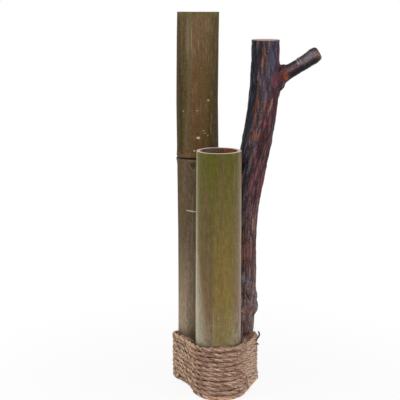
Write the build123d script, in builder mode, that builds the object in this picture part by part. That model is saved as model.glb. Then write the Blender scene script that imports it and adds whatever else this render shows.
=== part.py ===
from build123d import *
import math
import os

# Vase of two bamboo culms and a forked branch, standing on end and bound at the foot with rope.
# Millimetres. Origin at the centre of the short culm's foot, +Z up, the viewer on the -Y side.

# Short culm: green bamboo cut flush below a joint, so that its foot is closed
short_height = 280.0
short_foot_dia = 52.4
short_rim_dia = 50.0
short_wall = 4.5
short_floor = 8.0

# Tall culm: brown bamboo with one joint on show, its plate closing the cup above it
tall_foot_dia = 48.4
tall_top_dia = 47.0
tall_wall = 4.6
tall_floor = 8.0
tall_joint_height = 266.0
tall_plate = 6.0
tall_cup_depth = 161.0
tall_bearing = 117.3

# Ring at the tall culm's joint: a ridge below and a lower one above a scar groove
ring_width = 11.0
ring_swell = 1.0
ring_groove = 0.5

# Branch: straight through the binding, a small crook above it, then a lean out to the right
branch_foot_dia = 36.0
branch_fork_dia = 33.6
branch_top_dia = 30.4
branch_fork_height = 349.0
branch_stub = 49.0
branch_crook = 3.0
branch_crook_rise = 50.0
branch_lean = 26.0
branch_lean_start = 165.0
branch_lean_rise = 195.0
branch_cut_tilt = 5.0

# Twig that leaves the branch at the fork, with a swollen collar
twig_dia = 14.6
twig_collar_dia = 22.0
twig_collar_reach = 27.0
twig_reach = 66.5
twig_rise = 31.0

# Overgrown knot low on the right of the branch
knot_height = 92.0
knot_dia = 34.0
knot_proud = 3.2

# Rope binding, wound in level turns that step up one pitch in the valley on the left
rope_dia = 5.4
rope_gap = 0.6
rope_turns = 10
rope_valley_radius = 23.0

# Glue beads inside the bundle
glue_start = 3.5
glue_depth = 5.0
glue_length = 46.0
glue_floor_gap = 4.0

# Clearances and edges
upright_gap = 0.3
tall_branch_gap = 5.2
crook_gap = 2.0
rope_seat = 0.25
rope_floor_gap = 0.25
glue_gap = 0.15
rim_round = 0.6

# Rope line: directions closer than this many degrees join straight, and the measuring step
straight_within = 1.0
measure_step = 1.0


def bearing_point(centre, radius, bearing):
    """Point at a distance and bearing, in degrees from +X, from a centre on the floor."""
    turn = math.radians(bearing)
    return centre + Vector(math.cos(turn), math.sin(turn)) * radius


def bearing_of(direction):
    """Bearing of a direction on the floor, in degrees from +X."""
    return math.degrees(math.atan2(direction.Y, direction.X))


def right_hand_meet(first, first_radius, second, second_radius):
    """Point at the given distances from two centres, right of the way from first to second."""
    way = second - first
    along = (first_radius**2 - second_radius**2 + way.length**2) / (2 * way.length)
    aside = math.sqrt(first_radius**2 - along**2)
    ahead = way.normalized()
    return first + ahead * along + Vector(ahead.Y, -ahead.X) * aside


def outer_tangent_bearing(first, first_radius, second, second_radius):
    """Bearing of the points where a straight run leaves one round and meets the next."""
    way = second - first
    opening = math.degrees(math.acos((first_radius - second_radius) / way.length))
    return bearing_of(way) - opening


# Plan of the bundle: both neighbours stand against the short culm
short_radius = short_foot_dia / 2
tall_radius = tall_foot_dia / 2
branch_radius = branch_foot_dia / 2
short_centre = Vector(0, 0)
tall_centre = bearing_point(short_centre, short_radius + tall_radius + upright_gap, tall_bearing)
branch_centre = right_hand_meet(
    short_centre,
    short_radius + branch_radius + upright_gap,
    tall_centre,
    tall_radius + branch_radius + tall_branch_gap,
)

# Heights that follow from the lengths
plate_top = tall_joint_height + tall_plate / 2
plate_bottom = tall_joint_height - tall_plate / 2
tall_height = plate_top + tall_cup_depth
branch_height = branch_fork_height + branch_stub
rope_pitch = rope_dia + rope_gap
binding_height = rope_floor_gap + rope_dia + rope_turns * rope_pitch
branch_straight = binding_height + crook_gap


def tall_radius_at(height):
    """Outer radius of the tall culm's plain taper."""
    return tall_radius + (tall_top_dia / 2 - tall_radius) * height / tall_height


def eased(height, start, rise):
    """Share of a sideways move made at a height, with a soft start and end."""
    climb = min(max((height - start) / rise, 0.0), 1.0)
    return (1 - math.cos(math.pi * climb)) / 2


def branch_point_at(height):
    """Middle of the branch at a height."""
    shift = branch_crook * eased(height, branch_straight, branch_crook_rise)
    shift += branch_lean * eased(height, branch_lean_start, branch_lean_rise)
    return Vector(branch_centre.X + shift, branch_centre.Y, height)


def branch_radius_at(height):
    """Radius of the branch at a height, narrowing to the fork and again to the cut."""
    if height < branch_fork_height:
        share = (height - branch_straight) / (branch_fork_height - branch_straight)
        return (branch_foot_dia + (branch_fork_dia - branch_foot_dia) * share) / 2
    share = (height - branch_fork_height) / branch_stub
    return (branch_fork_dia + (branch_top_dia - branch_fork_dia) * share) / 2


# Short culm
with BuildPart() as short_culm:
    with BuildSketch(Plane.XZ):
        with BuildLine():
            Polyline(
                (0, 0),
                (short_radius, 0),
                (short_rim_dia / 2, short_height),
                (short_rim_dia / 2 - short_wall, short_height),
                (short_radius - short_wall, short_floor),
                (0, short_floor),
                close=True,
            )
        make_face()
    revolve(axis=Axis.Z)
    fillet(short_culm.edges().group_by(Axis.Z)[-1], rim_round)
short_culm.part.label = "short_culm"

# Tall culm, with a closed hollow below its joint plate
tall_plane = Plane(origin=tall_centre, x_dir=(1, 0, 0), z_dir=(0, -1, 0))
tall_axis = Axis(tall_centre, (0, 0, 1))
ring_bottom = tall_joint_height - ring_width / 2
ring_top = tall_joint_height + ring_width / 2
ring_radius = tall_radius_at(tall_joint_height)
with BuildPart() as tall_culm:
    with BuildSketch(tall_plane):
        with BuildLine():
            Line((0, 0), (tall_radius, 0))
            Line((tall_radius, 0), (tall_radius_at(ring_bottom), ring_bottom))
            ThreePointArc(
                (tall_radius_at(ring_bottom), ring_bottom),
                (ring_radius + ring_swell, tall_joint_height - ring_width / 4),
                (ring_radius - ring_groove, tall_joint_height),
            )
            ThreePointArc(
                (ring_radius - ring_groove, tall_joint_height),
                (ring_radius + ring_swell / 2, tall_joint_height + ring_width / 4),
                (tall_radius_at(ring_top), ring_top),
            )
            Polyline(
                (tall_radius_at(ring_top), ring_top),
                (tall_top_dia / 2, tall_height),
                (tall_top_dia / 2 - tall_wall, tall_height),
                (tall_radius_at(plate_top) - tall_wall, plate_top),
                (0, plate_top),
                (0, 0),
            )
        make_face()
        with BuildLine():
            Polyline(
                (0, tall_floor),
                (tall_radius - tall_wall, tall_floor),
                (tall_radius_at(plate_bottom) - tall_wall, plate_bottom),
                (0, plate_bottom),
                close=True,
            )
        make_face(mode=Mode.SUBTRACT)
    revolve(axis=tall_axis)
    fillet(tall_culm.edges().group_by(Axis.Z)[-1], rim_round)
tall_culm.part.label = "tall_culm"

# Branch with its twig and knot
branch_sections = 10
branch_over = branch_height + branch_top_dia / 2
fork_point = branch_point_at(branch_fork_height)
twig_direction = Vector(math.cos(math.radians(twig_rise)), 0, math.sin(math.radians(twig_rise)))
twig_sections = [
    (0, twig_collar_dia),
    (twig_collar_reach, twig_dia),
    (twig_reach, twig_dia),
]
cut_plane = Plane(origin=branch_point_at(branch_height)).rotated((branch_cut_tilt, 0, 0))
knot_inset = branch_radius_at(knot_height) + knot_proud - knot_dia / 2
with BuildPart() as branch:
    with BuildSketch(Plane(origin=branch_centre)):
        Circle(branch_radius)
    extrude(amount=branch_straight)
    for step in range(branch_sections + 1):
        height = branch_straight + (branch_over - branch_straight) * step / branch_sections
        with BuildSketch(Plane(origin=branch_point_at(height))):
            Circle(branch_radius_at(height))
    loft()
    split(bisect_by=cut_plane, keep=Keep.BOTTOM)
    for reach, section_dia in twig_sections:
        with BuildSketch(Plane(origin=fork_point + twig_direction * reach, z_dir=twig_direction)):
            Circle(section_dia / 2)
    loft(ruled=True)
    with Locations(branch_point_at(knot_height) + Vector(knot_inset)):
        Sphere(knot_dia / 2)
branch.part.label = "branch"

# Plan of the rope's line: its rounds, straight runs and the valley where it steps up
rope_stand_off = rope_seat + rope_dia / 2
short_round = short_radius + rope_stand_off
tall_round = tall_radius + rope_stand_off
branch_round = branch_radius + rope_stand_off
valley_centre = right_hand_meet(
    tall_centre, tall_round + rope_valley_radius, short_centre, short_round + rope_valley_radius
)
right_run = outer_tangent_bearing(short_centre, short_round, branch_centre, branch_round)
back_run = outer_tangent_bearing(branch_centre, branch_round, tall_centre, tall_round)
valley_to_short = bearing_of(valley_centre - short_centre)
valley_to_tall = bearing_of(valley_centre - tall_centre) % 360
short_sweep = (right_run - valley_to_short) % 360
tall_sweep = (valley_to_tall - back_run) % 360

# The step up gains slope over half the tall culm's round and loses it in the valley
valley_sweep = (short_centre - valley_centre).get_angle(tall_centre - valley_centre)
gain_length = math.radians(tall_sweep / 2) * tall_round
loss_length = math.radians(valley_sweep) * rope_valley_radius
steepest = 2 * rope_pitch / (gain_length + loss_length)
gained = steepest * gain_length / 2

# Places in one turn: centre, radius, bearing, height gained and slope
front_places = [
    (short_centre, short_round, valley_to_short, 0, 0),
    (short_centre, short_round, valley_to_short + short_sweep / 2, 0, 0),
    (short_centre, short_round, right_run, 0, 0),
]
turn_places = front_places + [
    (branch_centre, branch_round, right_run, 0, 0),
    (branch_centre, branch_round, back_run, 0, 0),
    (tall_centre, tall_round, back_run, 0, 0),
    (tall_centre, tall_round, back_run + tall_sweep / 2, 0, 0),
    (tall_centre, tall_round, valley_to_tall, gained, steepest),
]


def rope_stop(place, turn):
    """Point and direction of the rope's line at one place of one turn."""
    centre, radius, bearing, rise, slope = place
    height = rope_floor_gap + rope_dia / 2 + turn * rope_pitch + rise
    point = bearing_point(centre, radius, bearing) + Vector(0, 0, height)
    ahead = bearing_point(Vector(0, 0, slope), 1, bearing + 90)
    return point, ahead.normalized()


def biarc(start, end):
    """Two arcs that join one stop to the next and share their tangent where they meet."""
    (start_point, start_ahead), (end_point, end_ahead) = start, end
    chord = end_point - start_point
    square = 2 * (1 - start_ahead.dot(end_ahead))
    linear = 2 * chord.dot(start_ahead + end_ahead)
    reach = (math.sqrt(linear**2 + 4 * square * chord.dot(chord)) - linear) / (2 * square)
    start_corner = start_point + start_ahead * reach
    end_corner = end_point - end_ahead * reach
    joint = (start_corner + end_corner) / 2
    return [
        TangentArc(start_point, joint, tangent=start_ahead),
        TangentArc(joint, end_point, tangent=end_corner - start_corner),
    ]


rope_stops = [rope_stop(place, turn) for turn in range(rope_turns) for place in turn_places]
rope_stops += [rope_stop(place, rope_turns) for place in front_places]
first_point, first_ahead = rope_stops[0]
last_point, last_ahead = rope_stops[-1]

# Rope binding, with a straight end of one diameter at each end
with BuildPart() as rope_binding:
    with BuildLine():
        rope_edges = [Line(first_point - first_ahead * rope_dia, first_point)]
        for start, end in zip(rope_stops, rope_stops[1:]):
            if start[1].get_angle(end[1]) < straight_within:
                rope_edges.append(Line(start[0], end[0]))
            else:
                rope_edges += biarc(start, end)
        rope_edges.append(Line(last_point, last_point + last_ahead * rope_dia))
    with BuildSketch(Plane(origin=first_point - first_ahead * rope_dia, z_dir=first_ahead)):
        Circle(rope_dia / 2)
    sweep()
rope_binding.part.label = "rope_binding"

# Least gap of the rope to itself, measured on points along its line
rope_points = []
for edge in rope_edges:
    steps = math.ceil(edge.length / measure_step)
    rope_points += [tuple(edge @ (step / steps)) for step in range(steps)]
half_turn = len(rope_points) // (2 * rope_turns + 1)
least = min(
    math.dist(point, other)
    for index, point in enumerate(rope_points)
    for other in rope_points[index + half_turn : index + 3 * half_turn]
)
rope_length = sum(edge.length for edge in rope_edges)
rope_volume = rope_length * math.pi * rope_dia**2 / 4
print(f"rope: {rope_length:.0f} mm long, least gap to itself {least - rope_dia:.2f} mm")
print(f"rope: volume {rope_binding.part.volume:.0f}, section times length {rope_volume:.0f}")

# Glue beads: each fills the narrowing between two uprights on the side of the bundle's core
core = (short_centre + tall_centre + branch_centre) / 3


def glue_bead(first, first_radius, second, second_radius):
    """One bead, cut to the two uprights that it holds."""
    ahead = (second - first).normalized()
    free = (second - first).length - first_radius - second_radius
    seam = first + ahead * (first_radius + free / 2)
    inward = Vector(-ahead.Y, ahead.X)
    if inward.dot(core - seam) < 0:
        inward = -inward
    bead_plane = Plane(origin=seam, x_dir=inward, z_dir=(0, 0, 1)).offset(glue_floor_gap)
    with BuildPart() as bead:
        with BuildSketch(bead_plane):
            with Locations((glue_start + glue_depth / 2, 0)):
                Rectangle(glue_depth, first_radius + second_radius)
        extrude(amount=glue_length)
        with BuildSketch(Plane.XY):
            with Locations(first):
                Circle(first_radius + glue_gap)
            with Locations(second):
                Circle(second_radius + glue_gap)
        extrude(amount=glue_floor_gap + glue_length, mode=Mode.SUBTRACT)
    return bead.part


glue_seam_culms = glue_bead(short_centre, short_radius, tall_centre, tall_radius)
glue_seam_short_branch = glue_bead(short_centre, short_radius, branch_centre, branch_radius)
glue_seam_tall_branch = glue_bead(tall_centre, tall_radius, branch_centre, branch_radius)
glue_seam_culms.label = "glue_seam_culms"
glue_seam_short_branch.label = "glue_seam_short_branch"
glue_seam_tall_branch.label = "glue_seam_tall_branch"

os.makedirs("parts", exist_ok=True)
export_step(short_culm.part, "parts/short_culm.step")
export_step(tall_culm.part, "parts/tall_culm.step")
export_step(branch.part, "parts/branch.step")
export_step(rope_binding.part, "parts/rope_binding.step")
export_step(glue_seam_culms, "parts/glue_seam_culms.step")
export_step(glue_seam_short_branch, "parts/glue_seam_short_branch.step")
export_step(glue_seam_tall_branch, "parts/glue_seam_tall_branch.step")
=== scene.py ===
import math
import random

import bpy
import numpy as np
from bpy.props import FloatProperty, FloatVectorProperty, IntProperty, PointerProperty
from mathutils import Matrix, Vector, noise


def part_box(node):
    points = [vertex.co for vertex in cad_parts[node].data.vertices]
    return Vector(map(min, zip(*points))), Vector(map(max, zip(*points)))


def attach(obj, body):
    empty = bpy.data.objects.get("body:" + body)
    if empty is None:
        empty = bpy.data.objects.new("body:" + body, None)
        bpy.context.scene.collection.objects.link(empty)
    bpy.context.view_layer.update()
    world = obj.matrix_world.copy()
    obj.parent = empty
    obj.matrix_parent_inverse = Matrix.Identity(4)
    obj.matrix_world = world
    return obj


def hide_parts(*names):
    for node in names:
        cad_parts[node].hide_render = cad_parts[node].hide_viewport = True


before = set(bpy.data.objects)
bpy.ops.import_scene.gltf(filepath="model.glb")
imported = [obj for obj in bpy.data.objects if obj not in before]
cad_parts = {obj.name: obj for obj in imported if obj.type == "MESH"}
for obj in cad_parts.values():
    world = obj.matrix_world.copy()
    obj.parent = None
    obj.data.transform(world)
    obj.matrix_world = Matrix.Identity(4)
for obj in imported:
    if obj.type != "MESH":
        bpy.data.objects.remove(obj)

bl_info = {
    "name": "Bamboo Vase",
    "version": (1, 0, 0),
    "blender": (4, 5, 0),
    "location": "3D View > Sidebar > Bamboo Vase",
    "description": "Two bamboo culms and a forked branch, bound at the foot with jute rope",
    "category": "Object",
}

# Metres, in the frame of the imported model: +Z up, the viewer on the -Y side
MM = 0.001
FULL_TURN = 2 * math.pi
SMOOTH_ANGLE = math.radians(40)
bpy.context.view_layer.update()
SHORT_LOW, SHORT_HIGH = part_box("short_culm")
TALL_LOW, TALL_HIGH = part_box("tall_culm")
BRANCH_LOW, BRANCH_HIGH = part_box("branch")
GLUE_NODES = ("glue_seam_culms", "glue_seam_short_branch", "glue_seam_tall_branch")


# Settings

def length(name, description, default):
    """A size that a user may set, in metres."""
    return FloatProperty(
        name=name, description=description, default=default, min=0.0, subtype="DISTANCE", unit="LENGTH"
    )


def angle(name, description, degrees):
    """An angle that a user may set."""
    return FloatProperty(
        name=name, description=description, default=math.radians(degrees), subtype="ANGLE", unit="ROTATION"
    )


def colour(name, description, code):
    """A colour that a user may set, given as a six-digit screen colour."""
    return FloatVectorProperty(
        name=name, description=description, default=screen_colour(code), size=3, min=0.0, max=1.0,
        subtype="COLOR",
    )


def screen_colour(code):
    """Linear red, green and blue of a six-digit screen colour."""
    parts = [int(code[at : at + 2], 16) / 255 for at in (0, 2, 4)]
    return tuple(part / 12.92 if part <= 0.04045 else ((part + 0.055) / 1.055) ** 2.4 for part in parts)


class ShortCulmSettings(bpy.types.PropertyGroup):
    """Sizes and colours of the short green culm."""

    height: length("Height", "Height of the rim above the foot", SHORT_HIGH.z)
    foot_radius: length("Foot radius", "Outer radius at the foot", (SHORT_HIGH.x - SHORT_LOW.x) / 2)
    rim_radius: length("Rim radius", "Outer radius at the rim", 25.0 * MM)
    wall: length("Wall", "Thickness of the wall", 4.5 * MM)
    floor: length("Floor", "Thickness of the closed foot", 8.0 * MM)
    green_colour: colour("Green", "Green skin in streaks below the rim", "595b18")
    top_colour: colour("Top", "Brownish skin between those streaks", "5f512e")
    yellow_colour: colour("Yellow", "Yellow skin along the middle, low down", "867442")
    streak_colour: colour("Streak", "Brown streak left of the middle, low down", "725b42")
    dusk_colour: colour("Dusk", "Pinkish skin on the right, low down", "886e5b")
    gold_colour: colour("Gold", "Golden skin half-way up the middle", "8a6c2a")
    # pale wax, also used as painted edge light down the left side
    wax_and_edge_light_colour: colour("Wax and edge light", "Pale wax on the left, low down", "bbb096")
    # painted edge light down the left side below the rim, mixed with wax
    upper_wax_and_edge_light_colour: colour("Young bloom", "Yellowish wax on the left, below the rim", "b9ae78")
    dust_colour: colour("Dust", "Greyish patches above the rope", "9a9882")
    # painted shade just above the rope; also darkens one brown streak
    dark_and_rope_shade_colour: colour("Dark and rope shade", "Dark skin just above the rope", "3e3a28")
    sheen_colour: colour("Sheen", "Waxy sheen of the skin", "f2e8c8")


class TallCulmSettings(bpy.types.PropertyGroup):
    """Sizes and colours of the tall brown culm."""

    height: length("Height", "Height of the top above the foot", TALL_HIGH.z - 0.5 * MM)
    foot_radius: length("Foot radius", "Outer radius at the foot", 24.2 * MM)
    top_radius: length("Top radius", "Outer radius at the top", 23.5 * MM)
    wall: length("Wall", "Thickness of the wall", 4.6 * MM)
    joint_height: length("Joint height", "Height of the joint's scar", 269.0 * MM)
    joint_tilt: FloatProperty(name="Joint tilt", description="Rise of the joint to the right", default=0.05)
    cup_depth: length("Cup depth", "Depth of the hollow above the joint", 161.0 * MM)
    top_colour: colour("Top", "Greenish skin at the top", "605d34")
    edge_colour: colour("Edge", "Olive skin at the sides", "3f3113")
    skin_colour: colour("Skin", "Brown skin right of the middle", "5e4d30")
    red_colour: colour("Middle", "Reddish skin along the middle", "654a2e")
    band_colour: colour("Band", "Greyish band left of the middle", "63543b")
    shin_colour: colour("Shin", "Skin just below the joint", "5f4e3c")
    # painted shade on the skin beside the short culm
    shade_colour: colour("Shade", "Darker skin beside the short culm", "5b4f40")
    foot_colour: colour("Foot", "Greyish skin above the rope", "a08e79")
    # dark scar at the joint, partly painted shade in its groove; also painted shade at the rope
    scar_colour: colour("Scar", "Dark line at the joint", "15120f")
    rust_colour: colour("Rust", "Rusty ridge above the joint", "7a5438")
    straw_colour: colour("Straw", "Yellowish patch below the joint", "86703e")
    chip_colour: colour("Chips", "Bare wood in chips and scratches", "c2b98e")


class BambooSettings(bpy.types.PropertyGroup):
    """Colours that both culms share."""

    cut_colour: colour("Cut", "Sawn wall", "d6c2a6")
    pale_cut_colour: colour("Pale cut", "Paler clouds on the sawn wall", "ece1d0")
    fibre_colour: colour("Fibre ends", "Dark fibre ends in the sawn wall", "8a6440")
    lining_colour: colour("Lining", "Inner wall", "6b4a3a")
    rust_colour: colour("Rusty lining", "Rustier inner wall on the right", "a85a2c")
    dark_colour: colour("Dark lining", "Long dark fibres of the inner wall", "1c1210")
    grey_colour: colour("Grey lining", "Greyish specks of the inner wall on the left", "8f8578")


class BranchSettings(bpy.types.PropertyGroup):
    """Sizes and colours of the forked branch."""

    foot_radius: length("Foot radius", "Radius at the foot", 18.0 * MM)
    fork_radius: length("Fork radius", "Radius at the fork", 16.8 * MM)
    top_radius: length("Top radius", "Radius at the cut top", 15.2 * MM)
    straight: length("Straight foot", "Height of the straight foot", 67.65 * MM)
    fork_height: length("Fork height", "Height where the twig leaves", 349.0 * MM)
    stub: length("Stub", "Length above the fork", 49.9 * MM)
    crook: length("Crook", "Sideways step above the binding", 3.4 * MM)
    crook_rise: length("Crook rise", "Height of that step", 50.0 * MM)
    lean: length("Lean", "Sideways lean to the fork", 25.2 * MM)
    lean_start: length("Lean start", "Height where the lean begins", 172.0 * MM)
    lean_rise: length("Lean rise", "Height over which it leans", 188.0 * MM)
    bark: length("Bark", "How far the bark stands proud of the binding's foot", 0.45 * MM)
    flare: length("Flare", "How far the branch flares just above the rope", 1.3 * MM)
    cut_tilt: angle("Cut tilt", "Slope of the sawn top", 2.0)
    twig_radius: length("Twig radius", "Radius of the twig", 8.0 * MM)
    collar_radius: length("Collar radius", "Radius of the twig's collar", 12.2 * MM)
    collar_reach: length("Collar reach", "Length of the collar from the branch's middle", 27.0 * MM)
    twig_reach: length("Twig reach", "Length of the twig from the branch's middle", 70.0 * MM)
    twig_rise: angle("Twig rise", "Slope of the twig", 31.0)
    twig_sag: length("Twig sag", "How far the twig sags between its ends", 1.3 * MM)
    knot_height: length("Knot height", "Height of the overgrown knot", 89.0 * MM)
    knot_radius: length("Knot radius", "Radius of the knot", 17.0 * MM)
    knot_proud: length("Knot proud", "How far the knot stands out", 4.8 * MM)
    flake_width: length("Flake width", "Width of the bark's flakes", 4.2 * MM)
    flake_depth: length("Flake depth", "Depth of the cracks between the flakes", 1.5 * MM)
    # partly painted shade on the branch's left side
    coal_colour: colour("Coal", "Dark flakes on the left", "262832")
    slate_colour: colour("Slate", "Blue-grey flakes", "485069")
    umber_colour: colour("Umber", "Brown bark between them", "6c5454")
    clay_colour: colour("Clay", "Paler bark at the foot", "8e7671")
    # partly painted shade at the branch's right edge
    wine_colour: colour("Wine", "Dark purple-red bark at the right edge", "4d282f")
    maroon_colour: colour("Maroon", "Purple-red bark on the right", "6e3f4a")
    rust_colour: colour("Rust", "Peeled brown-red strips", "82462c")
    orange_colour: colour("Orange", "Bare orange inner bark", "b2581e")
    flesh_colour: colour("Flesh", "Pale peeled strips", "a07a70")
    # deep cracks; also the twig's painted shade
    crack_colour: colour("Crack", "Deep cracks", "100d0f")
    scar_colour: colour("Scar", "Grey overgrown scar", "77747e")
    # pale ring scar; also the twig's painted highlight band and the bark's painted glints
    ring_colour: colour("Ring", "Pale ring scar on the twig", "b3a9ac")
    wood_colour: colour("Wood", "Sawn wood", "d9c4b4")
    dull_wood_colour: colour("Dull wood", "Duller clouds on the sawn wood", "c0a495")
    growth_colour: colour("Growth rings", "Growth rings of the sawn wood", "94705f")


class RopeSettings(bpy.types.PropertyGroup):
    """Sizes and colours of the rope binding."""

    diameter: length("Diameter", "Diameter of the rope", 5.3 * MM)
    pitch: length("Pitch", "Height from one turn to the next", 5.64 * MM)
    turns: IntProperty(name="Turns", description="Whole turns below the last front pass", default=10, min=1)
    stand_off: length("Stand-off", "From an upright's skin to the rope's middle", 2.65 * MM)
    first_height: length("First height", "Height of the first turn's middle", 2.8 * MM)
    valley_radius: length("Valley radius", "Radius of the hollow bend between the culms", 300.0 * MM)
    first_valley_radius: length("First valley radius", "The same for the lowest turn", 90.0 * MM)
    lay: length("Lay", "Length in which the strands turn once", 32.0 * MM)
    yarns: IntProperty(name="Yarns", description="Yarns that show on the rope", default=3600, min=0)
    hairs: IntProperty(name="Hairs", description="Loose fibres on the rope", default=3400, min=0)
    light_colour: colour("Light", "Dry fibre", "c8a28f")
    # bleached fibre; also painted light round the rope's sides
    pale_colour: colour("Pale", "Bleached fibre", "e8cab0")
    # also laid as painted shade between the strands and under the turns
    dark_colour: colour("Dark", "Fibre deep between the strands", "3c2920")
    warm_colour: colour("Warm", "Warm fibre", "9c6f5a")
    straw_colour: colour("Straw", "Yellowish fibre on the left", "c79a62")
    # painted light: a warm glow along the rope's foot
    painted_foot_light_colour: colour("Ochre", "Fibre at the foot", "ffcb90")
    spur_colour: colour("Spur", "Dark stem caught in the rope", "33241d")


class GlueSettings(bpy.types.PropertyGroup):
    """Colours of the glue beads."""

    amber_colour: colour("Amber", "Cured glue", "b08a4a")
    pale_colour: colour("Pale", "Paler clouds in the glue", "d8b878")


class StageSettings(bpy.types.PropertyGroup):
    """The floor, the light and the camera."""

    lens: FloatProperty(name="Lens", description="Focal length on a 36 mm sensor", default=84.0, min=1.0)
    tilt: angle("Camera tilt", "How far the camera looks down", 11.34)
    floor_size: length("Floor size", "Width of the floor", 12.0)
    lamp_size: length("Lamp size", "Width of each square lamp", 1.2)
    floor_colour: colour("Floor", "Pale floor", "f4f4f2")
    pale_floor_colour: colour("Paler floor", "Paler clouds on the floor", "f7f7f5")


class VaseSettings(bpy.types.PropertyGroup):
    """All settings of the vase."""

    short_culm: PointerProperty(type=ShortCulmSettings)
    tall_culm: PointerProperty(type=TallCulmSettings)
    bamboo: PointerProperty(type=BambooSettings)
    branch: PointerProperty(type=BranchSettings)
    rope: PointerProperty(type=RopeSettings)
    glue: PointerProperty(type=GlueSettings)
    stage: PointerProperty(type=StageSettings)


# Places that follow from the frame

def middle(low, high):
    """Middle of a box on the floor."""
    return Vector(((low.x + high.x) / 2, (low.y + high.y) / 2, 0))


def branch_foot(settings):
    """Middle of the branch's foot."""
    return Vector((BRANCH_LOW.x + settings.foot_radius, (BRANCH_LOW.y + BRANCH_HIGH.y) / 2, 0))


def eased(height, start, rise):
    """Share of a sideways move made at a height, with a soft start and end."""
    climb = min(max((height - start) / rise, 0.0), 1.0)
    return (1 - math.cos(math.pi * climb)) / 2


def branch_shift(settings, height):
    """How far the branch stands to the right of its foot at a height."""
    shift = settings.crook * eased(height, settings.straight, settings.crook_rise)
    return shift + settings.lean * eased(height, settings.lean_start, settings.lean_rise)


def branch_radius(settings, height):
    """Radius of the branch at a height, narrowing to the fork and again to the cut."""
    if height < settings.straight:
        return settings.foot_radius
    if height < settings.fork_height:
        share = (height - settings.straight) / (settings.fork_height - settings.straight)
        return settings.foot_radius + (settings.fork_radius - settings.foot_radius) * share
    share = (height - settings.fork_height) / settings.stub
    return settings.fork_radius + (settings.top_radius - settings.fork_radius) * share


# Modelling by hand: rings, caps, cuts and uneven skins

def start_ring(name, place, radius, sides, lean=0.0):
    """Add a circle at its size and place as a new piece's first ring, and enter edit mode."""
    bpy.ops.object.select_all(action="DESELECT")
    bpy.ops.mesh.primitive_circle_add(
        vertices=sides, radius=radius, location=place, rotation=(0, lean, 0)
    )
    bpy.ops.object.transform_apply(location=True, rotation=True, scale=True)
    piece = bpy.context.active_object
    piece.name = name
    piece.data.name = name
    bpy.ops.object.mode_set(mode="EDIT")
    bpy.ops.mesh.select_all(action="SELECT")
    return piece


def grow_along(stations):
    """Extrude the selected ring from station to station, each a middle and a radius."""
    for (start, start_radius), (end, end_radius) in zip(stations, stations[1:]):
        bpy.ops.mesh.extrude_region_move(TRANSFORM_OT_translate={"value": end - start})
        share = end_radius / start_radius
        bpy.ops.transform.resize(value=(share, share, share), center_override=end)


def spaced(start, end, step):
    """Heights from start to end, about one step apart."""
    count = max(1, round(abs(end - start) / step))
    return [start + (end - start) * index / count for index in range(count + 1)]


def select_parts(piece, kind, test):
    """Enter edit mode with only those vertices or edges selected whose places all pass a test."""
    bpy.ops.object.mode_set(mode="OBJECT")
    mesh = piece.data
    for parts in (mesh.vertices, mesh.edges, mesh.polygons):
        parts.foreach_set("select", [False] * len(parts))
    passed = [test(vertex.co) for vertex in mesh.vertices]
    if kind == "VERT":
        mesh.vertices.foreach_set("select", passed)
    else:
        for edge in mesh.edges:
            edge.select = all(passed[index] for index in edge.vertices)
    bpy.context.tool_settings.mesh_select_mode = [kind == name for name in ("VERT", "EDGE", "FACE")]
    bpy.ops.object.mode_set(mode="EDIT")


def close_mesh(piece):
    """Turn a piece's faces outwards and leave edit mode."""
    bpy.ops.mesh.select_all(action="SELECT")
    bpy.ops.mesh.normals_make_consistent(inside=False)
    bpy.ops.object.mode_set(mode="OBJECT")
    bpy.ops.object.shade_smooth_by_angle(angle=SMOOTH_ANGLE)
    return piece


def make_active(piece):
    """Select one piece alone."""
    bpy.ops.object.select_all(action="DESELECT")
    piece.select_set(True)
    bpy.context.view_layer.objects.active = piece


def mesh_piece(name, verts, faces):
    """A new piece from its vertices and faces, turned outwards."""
    mesh = bpy.data.meshes.new(name)
    mesh.from_pydata(verts, [], faces)
    piece = bpy.data.objects.new(name, mesh)
    bpy.context.scene.collection.objects.link(piece)
    make_active(piece)
    bpy.ops.object.mode_set(mode="EDIT")
    return close_mesh(piece)


def apply_modifier(piece, name, kind, **values):
    """Add a modifier with its values and apply it."""
    make_active(piece)
    modifier = piece.modifiers.new(name, kind)
    for key, value in values.items():
        setattr(modifier, key, value)
    bpy.ops.object.modifier_apply(modifier=name)


def places_of(piece, kind="co"):
    """Places of a piece's vertices, or their normals."""
    places = np.empty(len(piece.data.vertices) * 3)
    piece.data.vertices.foreach_get(kind, places)
    return places.reshape(-1, 3)


def move_places(piece, places):
    """Put a piece's vertices at new places."""
    piece.data.vertices.foreach_set("co", places.ravel())
    piece.data.update()


def bowed(places, bow):
    """Sideways shift at each place, from a table of heights and shifts in millimetres."""
    heights, shifts = zip(*bow)
    return np.interp(places[:, 2] / MM, heights, shifts) * MM


def roughen(piece, name, size, stretch, depth, group="", kind="CLOUDS", contrast=1.0, rest=0.5):
    """Push a skin in and out by a pattern drawn out along Z, and give how far each vertex rose."""
    texture = bpy.data.textures.new(name, type=kind)
    texture.noise_scale = size
    texture.contrast = contrast
    if kind == "VORONOI":
        texture.weight_1 = -1.0
        texture.weight_2 = 1.0
    gauge = bpy.data.objects.new(name, None)
    bpy.context.scene.collection.objects.link(gauge)
    gauge.scale = (1, 1, stretch)
    bpy.context.view_layer.update()
    before, outward = places_of(piece), places_of(piece, "normal")
    apply_modifier(
        piece, name, "DISPLACE", texture=texture, texture_coords="OBJECT", texture_coords_object=gauge,
        strength=depth, mid_level=rest, vertex_group=group,
    )
    bpy.data.objects.remove(gauge)
    bpy.data.textures.remove(texture)
    return np.einsum("ij,ij->i", places_of(piece) - before, outward)


def weigh(piece, name, weights):
    """Give a piece a vertex group with one weight for each vertex."""
    group = piece.vertex_groups.new(name=name)
    for index, weight in enumerate(weights):
        group.add([index], float(weight), "REPLACE")


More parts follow.
